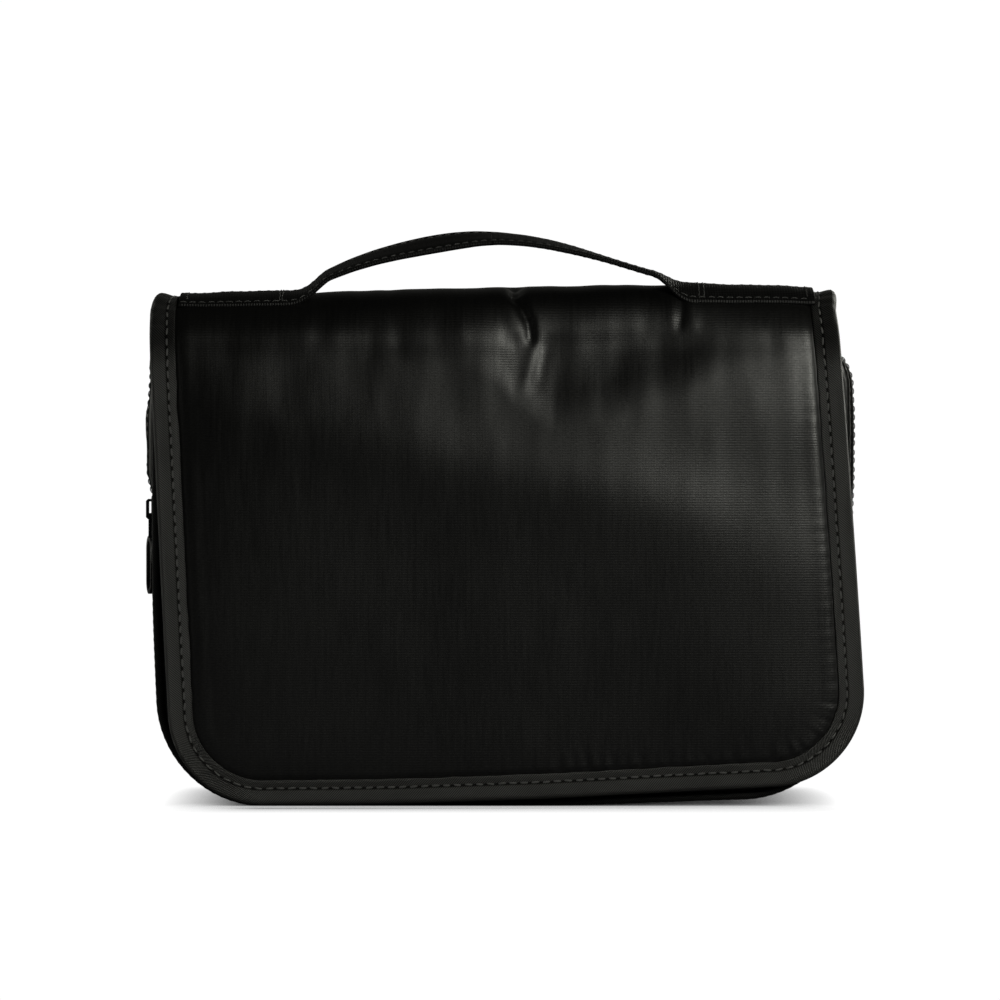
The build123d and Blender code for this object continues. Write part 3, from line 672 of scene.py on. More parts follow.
# Sharper dents of its outer face, same columns; the first three are a notch in the top fold and
# the crease that runs down from it.
CREASES = (
    (6.2, 182, 6.4, 172, 2.4, -2.0), (6.4, 172, 10.6, 163, 1.5, -1.5),
    (10.6, 163, 11.6, 156, 1.4, -1.1), (13.6, 157, 9.8, 141, 2.0, 0.34),
    (17.0, 156, 13.2, 140, 2.3, -0.26), (2.6, 170, 7.4, 158, 2.4, 0.35),
    (62.6, 172, 61.4, 161, 1.3, -0.6), (65.4, 171, 66.2, 160, 2.0, 0.25),
    (59.2, 172, 58.6, 163, 2.0, 0.2), (-34, 165, -32.5, 152, 2.2, -0.16),
    (-41, 163, -42, 149, 2.6, -0.14), (-14, 164, -12, 152, 2.0, -0.12),
    (-57, 166, -60, 155, 3.0, -0.16), (88, 168, 92, 156, 3.0, -0.16))


def spine_height(x):
    return softened(x, SPINE_HEIGHT, 5.0)


def top_warp(x, arc, fold, first, last, grain, seed):
    """Unevenness of a top fold between first and last from its start, plus the stuffed spine."""
    on_top = smooth(fold.start + first, fold.start + last, arc)
    on_top = on_top * smooth(fold.centre - 4, fold.stop + 2, arc)
    return (0.7 * fbm(x / grain, arc / 60, seed, 3) * on_top
            + spine_height(x) * smooth(fold.start - 4, fold.stop, arc))


def flap_warp(x, arc):
    """How far the flap's middle surface stands out from its flat plane."""
    upright = smooth(FRONT.stop + 2, FRONT.start - 6, arc)
    out = 3.0 * np.sin(np.clip(arc / 165, 0, 1) ** 1.15 * math.pi) * upright
    out = out + 0.9 * fbm(x / 95 + 3.1, arc / 80 + 1.7, 11, 2) * upright * smooth(0, 25, arc)
    over = np.clip(arc - np.interp(x, *LEAN_LINE) - 2.5 * fbm(x / 19, 0.5, 17, 2), 0, None)
    back = 0.27 * np.where(over < 14, over * over / 28, over - 7)
    back_limit = 4.3
    out = out - back_limit * np.tanh(back / back_limit) * smooth(FRONT.stop + 8, FRONT.start, arc)
    for *ends, width, height in SWELLS:
        out = out + height * bell(segment_dist(x, arc, *ends)[0], width) * upright
    return out + top_warp(x, arc, FRONT, -10, 4, 26, 23)


def flap_creases(x, arc):
    out = np.zeros_like(x)
    for *ends, width, height in CREASES:
        dist, share = segment_dist(x, arc, *ends)
        fade = np.sin(np.clip(share, 0.02, 0.98) * math.pi) ** 0.5
        out = out + height * bell(dist, width) * np.clip(fade + 0.25, 0, 1)
    out = out + 0.16 * fbm(x / 9, arc / 30, 31, 2) * smooth(60, 150, arc)
    return out + 0.12 * fbm(x / 22, arc / 40, 37, 2)


def back_warp(x, arc):
    upright = smooth(REAR.stop + 4, REAR.start - 12, arc)
    out = 1.0 * fbm(x / 80 + 9.1, arc / 70 + 4.7, 71, 2) * upright * smooth(0, 30, arc)
    return out + top_warp(x, arc, REAR, -14, 2, 30, 73)


def back_creases(x, arc):
    return (0.22 * fbm(x / 26, arc / 34, 81, 3)
            + 0.12 * fbm(x / 9, arc / 26, 83, 2) * smooth(90, 150, arc))


# ------------------------------------------------------------------ padded covers
# Ripples the cloth starts from: height, period along x, period along arc, phase.
RIPPLES = ((0.10, 4.1, 17, 0.3), (0.08, 6.7, 29, 1.9), (0.08, 2.9, 23, 4.0), (0.06, 9.3, 13, 2.2))
TAPE_WIDTH = 8.0
SEAM_INSET = 5.3                    # of the edge stitching, from the outline
TUCKED = HALF_T - 0.55              # half thickness where the cloth lies under the tape

# Section of the edge tape: (side, points). A point is (inset from the outline, height over the
# cover's face on that side); side 0 is the middle of the thickness.
TAPE_SECTION = (
    (1, [(8.0, 0.08), (7.75, 0.38), (7.3, 0.34), (6.5, 0.10), (5.75, -0.06), (5.3, -0.3),
         (4.85, -0.02), (4.2, 0.22), (3.2, 0.52), (2.0, 0.84), (0.9, 0.94), (0.1, 0.35),
         (-0.45, -0.7)]),
    (0, [(-0.62, 0)]),
    (-1, [(-0.45, -1.1), (0.1, -0.45), (0.9, 0.2), (2.0, 0.42), (3.2, 0.46), (4.2, 0.36),
          (4.85, 0.1), (5.3, -0.05), (5.75, 0.08), (6.4, 0.26), (7.2, 0.32), (8.0, 0.24),
          (8.02, -0.36), (7.2, -0.3), (5.3, -0.5), (3.2, -0.3), (1.2, -0.4), (0.5, -0.9)]),
    (0, [(0.3, 0)]),
    (1, [(0.5, -0.9), (1.2, -0.4), (3.2, -0.2), (5.3, -0.55), (7.2, -0.3), (8.02, -0.32)]))


def settle(x, arc, free, extra, top):
    """Lay the outer cloth over the padding with a cloth simulation; returns how far its folds
    stand out. It is cut wider than the panel by the share extra, and by top more near the fold,
    and sewn down where it is not free."""
    rows, cols, frames = 64, 84, 18
    row_at = np.round(np.linspace(0, x.shape[0] - 1, rows)).astype(int)
    col_at = np.round(np.linspace(0, x.shape[1] - 1, cols)).astype(int)
    pick = np.ix_(row_at, col_at)
    cloth_x, cloth_arc, held = x[pick], arc[pick], ~free[pick]
    held[0] = held[-1] = True
    held[:, 0] = held[:, -1] = True
    ripple = sum(height * np.sin(cloth_x / per_x + phase) * np.cos(cloth_arc / per_arc
                                                                   + 1.7 * phase)
                 for height, per_x, per_arc, phase in RIPPLES)
    ripple = np.where(held, 0.0, ripple)
    mesh = bpy.data.meshes.new("settling_cloth")
    mesh.from_pydata((np.stack([cloth_x, -ripple, cloth_arc], -1).reshape(-1, 3) / 1000).tolist(),
                     [], quad_grid(rows, cols))
    cloth = bpy.data.objects.new("settling_cloth", mesh)
    scene = bpy.context.scene
    scene.collection.objects.link(cloth)
    cloth.shape_key_add(name="laid")
    cut = cloth.shape_key_add(name="cut")
    wide = 1 + extra + top * smooth(60, 160, cloth_arc)
    cut_at = np.stack([6 + (cloth_x - 6) * wide, 0 * cloth_x, cloth_arc * (1 + 0.2 * extra)], -1)
    cut.data.foreach_set("co", (cut_at.reshape(-1) / 1000).astype(np.float32))
    sewn = cloth.vertex_groups.new(name="sewn")
    sewn.add(np.where(held.ravel())[0].tolist(), 1.0, "REPLACE")
    mod = cloth.modifiers.new("cloth", "CLOTH")
    assign(mod.settings, quality=5, mass=0.15, tension_stiffness=20, compression_stiffness=20,
           shear_stiffness=5, bending_stiffness=1.5, tension_damping=5, compression_damping=5,
           air_damping=2, vertex_group_mass="sewn", rest_shape_key=cut, use_pressure=True,
           uniform_pressure_force=0.8)
    mod.settings.effector_weights.gravity = 0
    assign(mod.collision_settings, use_collision=False, use_self_collision=False)
    assign(mod.point_cache, frame_start=1, frame_end=frames + 2)
    frame_before = scene.frame_current
    for k in range(1, frames + 1):
        scene.frame_set(k)
    settled = cloth.evaluated_get(bpy.context.evaluated_depsgraph_get())
    coords = np.zeros(rows * cols * 3, np.float32)
    settled.to_mesh().vertices.foreach_get("co", coords)
    settled.to_mesh_clear()
    out = np.where(held, 0.0, -coords.reshape(rows, cols, 3)[..., 1] * 1000.0)
    bpy.data.objects.remove(cloth)
    bpy.data.meshes.remove(mesh)
    scene.frame_set(frame_before)

    # keep the folds, leave the large pillow shape to the panel itself
    reach = 15
    kernel = np.exp(-(np.arange(-reach, reach + 1) / 5.5) ** 2 / 2)
    kernel /= kernel.sum()

    def blur(line):
        return np.convolve(np.pad(line, reach, mode="edge"), kernel, "valid")

    pillow = np.apply_along_axis(blur, 0, np.apply_along_axis(blur, 1, out))
    out = np.where(held, 0.0, out - pillow)
    limit = 0.9
    out = limit * np.tanh(out * 1.3 / limit)
    wide_rows = np.array([np.interp(np.arange(x.shape[1]), col_at, row) for row in out])
    full = np.array([np.interp(np.arange(x.shape[0]), row_at, col) for col in wide_rows.T]).T
    for _ in range(4):
        relax(full)
        relax(full.T)
    return full


def puckers(run, depth, strength):
    """Small gathers that fade away from a seam; run is the place along it."""
    wobble = 2.0 * vnoise(run / 31, 0.5, 3)
    amp = 0.5 + 0.5 * vnoise(run / 23, 7.5, 8)
    waves = (np.sin(2 * math.pi * (run / 4.9 + wobble))
             + 0.6 * np.sin(2 * math.pi * (run / 8.3 - wobble)))
    reach = 4.2 + 2.2 * vnoise(run / 5.1, 3.5, 9)
    return strength * amp * waves * bell(depth - 0.8, reach) * smooth(-0.5, 1.2, depth)


def flap_crown(crown, x, arc, inner):
    """The flap is flatter along the bottom, with a tight roll beside the tape on the right."""
    on_right = smooth(60, 108, x) * smooth(20, 50, arc)
    crown = crown * (1 - 0.45 * smooth(60, 20, arc)) * (1 - on_right)
    roll = 0.55 * (1 - np.exp(-inner / 1.9)) + 0.4 * (1 - np.exp(-inner / 9.0))
    return crown + on_right * roll


def flap_side_rolls(run, depth, low_left, low_right, end):
    """Faint grooves and ridges beside the tape, on the flap's right and left edges."""
    on_right = (smooth(low_right - 25, low_right + 20, run) * smooth(end - 12, end - 40, run))
    on_left = smooth(low_left + 10, low_left - 20, run) * smooth(10, 40, run)
    return (on_right * (-0.06 * bell(depth - 6.6, 2.4) + 0.07 * bell(depth - 2.9, 1.6))
            + on_left * 0.25 * bell(depth - 3.5, 2.2))


def cover_panel(prefix, sign, outline, inward, run, rows, cols, warp, creases, slack):
    """The outer padded cloth and the lining behind it."""
    fold = FOLDS[sign]
    low_left = int(np.argmax(-outline[:, 0] - outline[:, 1]))
    low_right = int(np.argmax(outline[:, 0] - outline[:, 1]))
    inset = outline + inward * 2.0
    left = resample(inset[:low_left + 1][::-1], rows)
    bottom = resample(inset[low_left:low_right + 1], cols)
    right = resample(inset[low_right:], rows)
    grid = patch(bottom, np.linspace(left[-1], right[-1], cols), left, right)
    x, arc = grid[..., 0], grid[..., 1]
    edge_dist, nearest = dist_to(grid, outline)
    depth = edge_dist - TAPE_WIDTH          # distance inside the tape's edge
    inner = np.clip(depth, 0, None)
    place = run[nearest]

    flat = smooth(fold.stop + 8, fold.start, arc)
    crown = 1.35 * (1 - np.exp(-inner / 6.0)) * (0.45 + 0.55 * flat)
    if sign < 0:
        crown = flap_crown(crown, x, arc, inner)
    outer = np.where(depth < 0, TUCKED, TUCKED + crown + smooth(-0.2, 1.6, depth) * 0.35)
    lower = (place > run[low_left] - 20) & (place < run[low_right] + 20)
    gathers = np.where(lower, 0.07 + 0.15 * smooth(-10, 40, x), 0.05)
    outer = outer + puckers(place, depth, gathers)
    if sign < 0:
        outer = outer + flap_side_rolls(place, depth, run[low_left], run[low_right], run[-1])
    folds = settle(x, arc, (depth > 0.5) & (arc < fold.start + 2), *slack)
    if sign < 0:
        folds = folds * (0.4 + 0.6 * smooth(100, 155, arc)) * (1 - 0.65 * smooth(80, 105, x))
    outer = outer + (creases(x, arc) + folds) * smooth(-0.5, 3, depth)

    warped = inner_warp = warp(x, arc)
    lining_at = np.full_like(x, -(HALF_T - 0.15))
    if sign < 0:
        lining_at = -TUCKED - 0.5 * (1 - np.exp(-inner / 7.0)) * flat
        # away from its edge the flap's lining stays flat where the cover swells out
        far = smooth(0, 25, depth)
        inner_warp = warped * (1 - far) + np.minimum(warped, 0) * far
    lining_at = lining_at + 0.10 * fbm(x / 14, arc / 14, 51, 2) * smooth(0, 4, depth)

    base, normal = cover_point(x, arc, sign)
    sheets = [base + normal * height[..., None]
              for height in (warped + outer, warped, inner_warp + lining_at)]
    return [slab(prefix + "_panel", *sheets[:2], grid, [NYLON], slot="ribbed_nylon"),
            slab(prefix + "_lining", *sheets[1:], grid, [LINING], slot="lining")]


def edge_tape(prefix, sign, outline, inward, run, warp):
    """Tape folded round the cover's edge."""
    fold, edge_arc = FOLDS[sign], outline[:, 1]
    section = np.array([(inset, side * (HALF_T + over))
                        for side, points in TAPE_SECTION for inset, over in points])
    inset, height = section.T
    side = np.sign(height)
    ragged = 0.3 * vnoise(run / 9, 2.5, 61) + 0.22 * vnoise(run / 3.7, 5.5, 62)
    puff = 0.22 * vnoise(run / 7, 1.5, 63) + 0.12 * vnoise(run / 3.1, 8.5, 64)
    pit = np.abs(np.sin(math.pi * run / 3.7)) - 0.75        # one per stitch
    # the tape is gathered where it goes round the top fold
    gather = smooth(fold.start - 12, fold.start + 2, edge_arc)
    gather = gather * smooth(fold.stop + 6, fold.stop - 4, edge_arc)
    pleats = np.abs(np.sin(math.pi * run / 5.3 + 1.2 * vnoise(run / 9, 3.1, 65)))
    wrap = gather * (0.45 * pleats - 0.2 + 0.2 * vnoise(run / 1.7, 4.5, 66))

    shift = ragged[:, None] * smooth(5.5, TAPE_WIDTH, inset) * 0.8
    flat = outline[:, None] + inward[:, None] * (inset + shift)[..., None]
    puffed = np.where(np.abs(height) > HALF_T - 0.2, 0.72 * bell(inset - 3.0, 2.2), 0.0)
    stand = height + side * (puffed * puff[:, None]
                             + 0.3 * pit[:, None] * bell(inset - SEAM_INSET, 0.7)
                             + wrap[:, None] * bell(inset - 3.2, 3.0))
    base, normal = cover_point(flat[..., 0], flat[..., 1], sign)
    rings = base + normal * (stand + warp(flat[..., 0], flat[..., 1]))[..., None]
    tape = tube(prefix + "_edge_tape", rings, columns(run[:, None], lengths(section)),
                [EDGE_TAPE], slot="twill_tape")
    # painted shade on the tape where it goes round the top fold, read by the twill material
    painted_fold_shade = smooth(fold.start - 12, fold.start + 1, edge_arc)
    painted_fold_shade = painted_fold_shade * smooth(fold.stop + 10, fold.stop - 2, edge_arc)
    layer = tape.data.attributes.new("painted_fold_shade", "FLOAT", "POINT")
    layer.data.foreach_set("value", np.repeat(painted_fold_shade, len(section)).astype(np.float32))
    return tape


def edge_stitching(prefix, sign, outline, inward, warp):
    """One row of thread on each face of the tape."""
    flat = outline + inward * SEAM_INSET
    base, normal = cover_point(flat[:, 0], flat[:, 1], sign)
    base = base + normal * warp(flat[:, 0], flat[:, 1])[:, None]
    parts = []
    for face, height in ((1, HALF_T - 0.2), (-1, HALF_T - 0.02)):
        parts += stitches(base + normal * face * height, normal * face, pitch=3.7, dash=2.5,
                          radius=0.31, seed=40 + 7 * face + sign)
    return beads(prefix + "_edge_stitching", parts, THREAD, slot="twill_tape")


def cover_half(prefix, sign, outline, rows, cols, warp, creases, slack,
               replaced):
    inward = left_normals(outline)
    if ((outline.mean(0) - outline) * inward).sum(1).mean() < 0:
        inward = -inward
    run = lengths(outline)
    pieces = cover_panel(prefix, sign, outline, inward, run, rows, cols, warp, creases, slack)
    pieces.append(edge_tape(prefix, sign, outline, inward, run, warp))
    pieces.append(edge_stitching(prefix, sign, outline, inward, warp))
    for piece in pieces:
        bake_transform(piece)
    for piece, nodes in zip(pieces, replaced):
        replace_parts(piece, *nodes)


cover_half("flap", -1, flap_outline, 190, 220, flap_warp, flap_creases, slack=(0.012, 0.034),
           replaced=(("flap_cover", "flap_foam", "front_fold_seam", "spine_cover", "spine_foam"),
                     ("flap_lining", "spine_lining"), ("flap_binding", "spine_binding")))
cover_half("back", 1, back_outline, 120, 140, back_warp, back_creases, slack=(0.010, 0.020),
           replaced=(("back_cover", "back_foam", "rear_fold_seam"), ("back_lining",),
                     ("back_binding",)))

# ------------------------------------------------------------------ handle strap
SEWN_X = (low("handle_anchors", "x"), high("handle_anchors", "x"))
ARCH_X = (low("handle_arch", "x"), high("handle_arch", "x"))
STRAP_Y = middle("handle_anchors", "y")
SPINE_FACE = TOP_Z + HALF_T - 0.35
STRAP_HALF_W, STRAP_HALF_T = 6.0, 0.85
SEAM_ROW = 0.72                     # place of the stitching, as a share of the half width
# The arch seen from the front: (x, z).
ARCH = np.array([
    (-66, 174.2), (-63, 175.4), (-58, 178.1), (-49.5, 181.8), (-41, 184.7), (-32.7, 186.9),
    (-24, 188.8), (-15.5, 190.3), (-7, 191.3), (1, 191.4), (10, 190.6), (18, 189.2),
    (26.5, 187.1), (35, 184.6), (43.5, 181.9), (52, 179.2), (58, 177.8), (62, 177.3)])
# How far the strap tips towards the front. Rows: x, angle in radians.
STRAP_TILT = (
    [-62, -57, -40, -24, -14, -6, 1, 18, 26, 34, 43, 55],
    [0.27, 0.33, 0.45, 0.55, 0.53, 0.44, 0.36, 0.28, 0.23, 0.15, 0.12, 0.14])
# Section of the strap. Rows: place across and height, as shares of its half width and thickness.
strap_across, strap_height = np.array([
    [-1, -0.97, -0.8, -0.72, -0.62, -0.3, 0, 0.3, 0.62, 0.72, 0.8, 0.97,
     1, 0.97, 0.8, 0.72, 0.62, 0.3, 0, -0.3, -0.62, -0.72, -0.8, -0.97],
    [0, 0.75, 1.0, 0.66, 1.0, 1.06, 1.0, 1.06, 1.0, 0.66, 1.0, 0.75,
     0, -0.75, -1, -0.66, -1, -1.05, -1, -1.05, -1, -0.66, -1, -0.75],
]) * np.array([[STRAP_HALF_W], [STRAP_HALF_T]])


def strap_line():
    """Centre line of the strap, seen from the front: x and z."""
    def sewn(start, end):
        x = np.linspace(start, end, 40)
        return columns(x, SPINE_FACE + 0.5 + spine_height(x))

    arch_x, arch_z = ARCH.T
    share = (arch_x - arch_x[0]) / (arch_x[-1] - arch_x[0])
    drawn_top = 191.7
    arch_z = arch_z + (high("handle_arch", "z") - drawn_top) - 0.75 * np.sin(math.pi * share)
    at = np.linspace(0.03, 0.97, 90)
    arch = columns(ARCH_X[0] + (ARCH_X[1] - ARCH_X[0]) * at, np.interp(at, share, arch_z))
    line = resample(np.concatenate(
        [sewn(SEWN_X[0], ARCH_X[0] - 3), arch, sewn(ARCH_X[1] + 3, SEWN_X[1])]), 260)
    relax(line, 8)
    return line.T


def lying(x, across, height):
    """A point of the strap's sewn ends, which follow the rounded top of the spine."""
    arc = FRONT.stop + (STRAP_Y - (FLAP_Y + FRONT.radius)) - across
    base, normal = cover_point(x, arc, -1)
    return base + normal * (HALF_T + STRAP_HALF_T + flap_warp(x, arc) + height)[..., None]


def handle_strap():
    x, z = strap_line()
    ahead = unit(columns(np.gradient(x), np.gradient(z)))
    tilt = softened(x, STRAP_TILT, 4.0)[:, None]
    forward = np.array([0.0, -1.0, 0.0])
    upward = columns(-ahead[:, 1], 0.0, ahead[:, 0])
    side = forward * np.cos(tilt) - upward * np.sin(tilt)
    up = upward * np.cos(tilt) + forward * np.sin(tilt)
    centre = columns(x, STRAP_Y + 0.5 * vnoise(x / 40, 0.3, 91), z)
    run = lengths(centre)
    across = strap_across * (1 + 0.003 * vnoise(run / 6, 0.2, 93))[:, None]
    free = (centre[:, None] + side[:, None] * across[..., None]
            + up[:, None] * strap_height[:, None])
    lift = (smooth(ARCH_X[0] - 5, ARCH_X[0] + 9, x)
            * smooth(ARCH_X[1] + 5, ARCH_X[1] - 9, x))[:, None]
    laid = lying(x[:, None], across, strap_height)
    rings = laid * (1 - lift[..., None]) + free * lift[..., None]
    uv = columns(run[:, None], lengths(columns(strap_across, strap_height)))

    parts = []
    for face in (-1, 1):
        for row in (-SEAM_ROW, SEAM_ROW):
            place, height = row * STRAP_HALF_W, face * STRAP_HALF_T * 0.72
            line = (lying(x, place, height) * (1 - lift)
                    + (centre + side * place + up * height) * lift)
            parts += stitches(line, up * face, pitch=3.1, dash=2.3, radius=0.22, sink=0.2,
                              lift=0.1, seed=int(50 + face + 5 * row))
    # bar tacks where the arch leaves the spine, and one across each sewn end
    for tack_x in (ARCH_X[0] - 6.5, ARCH_X[0] - 8.0, ARCH_X[1] + 6.5, ARCH_X[1] + 8.0,
                   SEWN_X[0] + 2.5, SEWN_X[1] - 2.5):
        row = np.linspace(-STRAP_HALF_W * SEAM_ROW, STRAP_HALF_W * SEAM_ROW, 12)
        line = lying(x[np.argmin(abs(x - tack_x))], row, STRAP_HALF_T * 0.95)
        parts += stitches(line, [0, -0.35, 0.94], pitch=1.7, dash=1.6, radius=0.24, sink=0.15,
                          lift=0.1, seed=60)

    # two halves that meet in the middle
    half = int(np.argmin(abs(x - (ARCH_X[0] + ARCH_X[1]) / 2)))
    for name, span, end_x, inward in (("left", slice(0, half + 1), ARCH_X[0], 1),
                                      ("right", slice(half, None), ARCH_X[1], -1)):
        strap = tube("handle_strap_" + name, rings[span], uv[span], [STRAP], slot="webbing")
        for cap in list(strap.data.polygons)[-2:]:
            cap.use_smooth = False
        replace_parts(strap, "handle_arch", "handle_anchors")
        mine = [part for part in parts if (part[..., 0].mean() - x[half]) * inward < 0]
        sewing = beads("handle_stitching_" + name, mine, THREAD_DARK, slot="webbing")
        for piece in (strap, sewing):
            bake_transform(piece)


handle_strap()

# ------------------------------------------------------------------ pouch gusset
LOW_RADIUS, TOP_RADIUS = 35.0, 22.0


def pouch_outline(inset, step=0.7):
    """Pouch outline from the bottom middle, anticlockwise seen from the front."""
    x, top = HALF_W - inset, POUCH_TOP - inset
    lower, upper = LOW_RADIUS - inset, TOP_RADIUS - inset
    return fillet_line([(0, inset), (x, inset), (x, top), (-x, top), (-x, inset), (0, inset)],
                       [lower, upper, upper, lower], step)


rim = pouch_outline(0, 0.5)
rim_normals = -left_normals(rim)        # outward
rim_normals[0] = rim_normals[-1] = (0, -1)
rim_run = lengths(rim)
RIM_END = rim_run[-1]


def rim_place(side, z):
    """Length along the rim up to height z on one side; side +1 is the right."""
    index = np.where(np.sign(rim[:, 0]) == side)[0]
    off_side = (abs(rim[index, 0]) < HALF_W - 1) * 100
    return float(rim_run[index[np.argmin(abs(rim[index, 1] - z) + off_side)]])


def bulge(run, y):
    """How far the soft gusset stands out from its flat CAD face."""
    point, normal = at_length(run, rim_run, rim), unit(at_length(run, rim_run, rim_normals))
    z, normal_x, normal_z = point[..., 1], normal[..., 0], normal[..., 1]
    belly = np.sin(np.clip((y - POUCH_FRONT) / (POUCH_REAR - POUCH_FRONT), 0, 1) * math.pi)
    on_side = smooth(0.55, 0.98, np.abs(normal_x))
    on_top = smooth(0.5, 0.98, normal_z)
    corner = smooth(0.15, 0.6, np.abs(normal_x)) * smooth(0.0, -0.4, normal_z)
    right = 6.2 + 2.0 * smooth(70, 115, z) * smooth(163, 140, z) - 1.4 * smooth(60, 20, z)
    left = 2.2 - 0.9 * smooth(82, 96, z) + 5.6 * smooth(101, 113, z) * smooth(154, 130, z)
    left = left + 7.5 * bell(z - 153, 7)
    amp = on_side * np.where(normal_x > 0, right, left) + on_top * 1.6
    amp = amp + corner * 1.3 * (1 - on_side)
    # the zip holds the fabric in
    hold = 0.42 + 0.50 * smooth(99, 104, z) * smooth(158, 149, z) * (normal_x <= 0)
    amp = amp * (1 - hold * on_side * smooth(80, 92, z) * bell(y - ZIP_Y, 7.5))
    amp = amp * (1 + 0.15 * vnoise(run / 45, 2.2, 101))
    wrinkles = 0.5 * fbm(run / 17, y / 30, 103, 3) + 0.25 * vnoise(run / 6.5, y / 22, 105)
    wrinkles = wrinkles * (on_side + 0.6 * on_top + corner) * belly
    return amp * belly ** 0.75 + wrinkles - 0.25 * on_top


def gusset_points(run, y, offset):
    """Grid of points offset from the gusset's outer face, and its outward normals."""
    run, y = np.meshgrid(run, y, indexing="ij")
    point, normal = at_length(run, rim_run, rim), unit(at_length(run, rim_run, rim_normals))
    outward = columns(normal[..., 0], 0.0, normal[..., 1])
    stand = bulge(run, y) + offset
    return sagged(point[..., 0], y, point[..., 1]) + outward * stand[..., None], outward


def gusset_line(run, y, offset):
    points, normals = gusset_points(run, np.array([y]), offset)
    return points[:, 0], normals[:, 0]


def gusset_piece(name, start, end, front, rear, body, mats, slot, thick, lift, spacing):
    run = np.linspace(start, end, max(6, int(abs(end - start) / 2.0)))
    y = np.linspace(front, rear, max(4, int(abs(rear - front) / spacing) + 1))
    return slab(name, gusset_points(run, y, lift)[0], gusset_points(run, y, lift - thick)[0],
                columns(y, run[:, None]), mats, bottom_mat=1, slot=slot, body=body)


def follow_mouth(*pieces):
    """Bake the transforms of the pieces round the pouch's mouth."""
    for piece in pieces:
        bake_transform(piece)


mouth_right, mouth_left = rim_place(1, MOUTH_Z), rim_place(-1, MOUTH_Z)
CLOTH = dict(mats=[POUCH, LINING], slot="ribbed_nylon", thick=1.1, lift=0.0, spacing=2.6)
TAPE = dict(mats=[ZIP_TAPE, ZIP_TAPE], slot="zip_tape", thick=0.7, lift=-0.35, spacing=1.2)
gusset = {}
# name, kind, start and end along the rim, front and rear y, body, CAD piece
for name, kind, start, end, front, rear, body, node in (
        ("pouch_gusset_lower_right", CLOTH, 0, mouth_right, POUCH_FRONT, POUCH_REAR, "pouch",
         "gusset_lower"),
        ("pouch_gusset_lower_left", CLOTH, mouth_left, RIM_END, POUCH_FRONT, POUCH_REAR, "pouch",
         "gusset_lower"),
        ("pouch_gusset_rear", CLOTH, mouth_right, mouth_left, 0.6, POUCH_REAR, "pouch",
         "gusset_upper_rear"),
        ("pouch_gusset_front", CLOTH, mouth_right, mouth_left, POUCH_FRONT, -12.6, None,
         "gusset_upper_front"),
        ("main_zip_tape_back_half", TAPE, mouth_right, mouth_left, ZIP_Y + 0.15, 1.6, "pouch",
         "main_zip_tape_rear"),
        ("main_zip_tape_front_half", TAPE, mouth_right, mouth_left, -13.6, ZIP_Y - 0.15, None,
         "main_zip_tape_front")):
    gusset[name] = gusset_piece(name, start, end, front, rear, body, **kind)
    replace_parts(gusset[name], node)

# Topstitched fold of fabric on both sides of the zip. Section rows: place across, height.
LIP_ACROSS, LIP_HEIGHT = np.array([
    [-1.9, -1.6, -0.8, 0.4, 1.4, 1.9, 1.9, -1.9],
    [0.1, 0.55, 0.72, 0.62, 0.45, 0.1, -0.3, -0.3]])
for name, lip_y, way, body, seed in (("back", 1.2, 1, "pouch", 71), ("front", -13.2, -1, None, 70)):
    run = np.linspace(mouth_right, mouth_left, int((mouth_left - mouth_right) / 2.0))
    rings = gusset_points(run, lip_y + LIP_ACROSS * way * 0.9, LIP_HEIGHT)[0]
    lip = tube("zip_lip_" + name, rings, columns(run[:, None], np.arange(8) * 0.8), [POUCH],
               slot="ribbed_nylon", body=body)
    sewing = beads("zip_lip_stitching_" + name,
                   stitches(*gusset_line(run, lip_y + way * 0.9, 0.6), pitch=3.0, dash=2.2,
                            radius=0.2, seed=seed),
                   THREAD, slot="zip_tape", body=body)
    if body is None:
        follow_mouth(lip, sewing)

# ------------------------------------------------------------------ main zip
TOOTH_PITCH = 1.55


def main_teeth(start, end, side, shift):
    """Half a zip coil: rounded bars across the tape."""
    run = start + (np.arange(int((end - start) / TOOTH_PITCH)) + 0.5 + shift) * TOOTH_PITCH
    row_y = ZIP_Y + side * 1.15
    centres, normals = gusset_line(run, row_y, -0.75)
    ahead = unit(gusset_line(run + 0.3, row_y, -0.75)[0] - centres)
    return bars(centres, [0.0, 1.0, 0.0], ahead, normals, length=3.3, width=TOOTH_PITCH * 0.62,
                height=1.35)


zip_right, zip_left = rim_place(1, MOUTH_Z + 1.5), rim_place(-1, MOUTH_Z + 1.5)
open_right, open_left = rim_place(1, 105.8), rim_place(-1, 105.8)
teeth_back = beads("main_zip_teeth_back", main_teeth(zip_right, zip_left, 1, 0.0), COIL,
                   slot="zip_coil", body="pouch")
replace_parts(teeth_back, "main_zip_coil_rear")
teeth_front = beads("main_zip_teeth_front", main_teeth(open_right, open_left, -1, 0.25), COIL,
                    slot="zip_coil")
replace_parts(teeth_front, "main_zip_coil_front")
teeth_ends = beads("main_zip_teeth_ends", main_teeth(zip_right, open_right, -1, 0.25)
                   + main_teeth(open_left, zip_left, -1, 0.25), COIL,
                   slot="zip_coil", body="pouch")
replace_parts(teeth_ends, "main_zip_end_teeth")

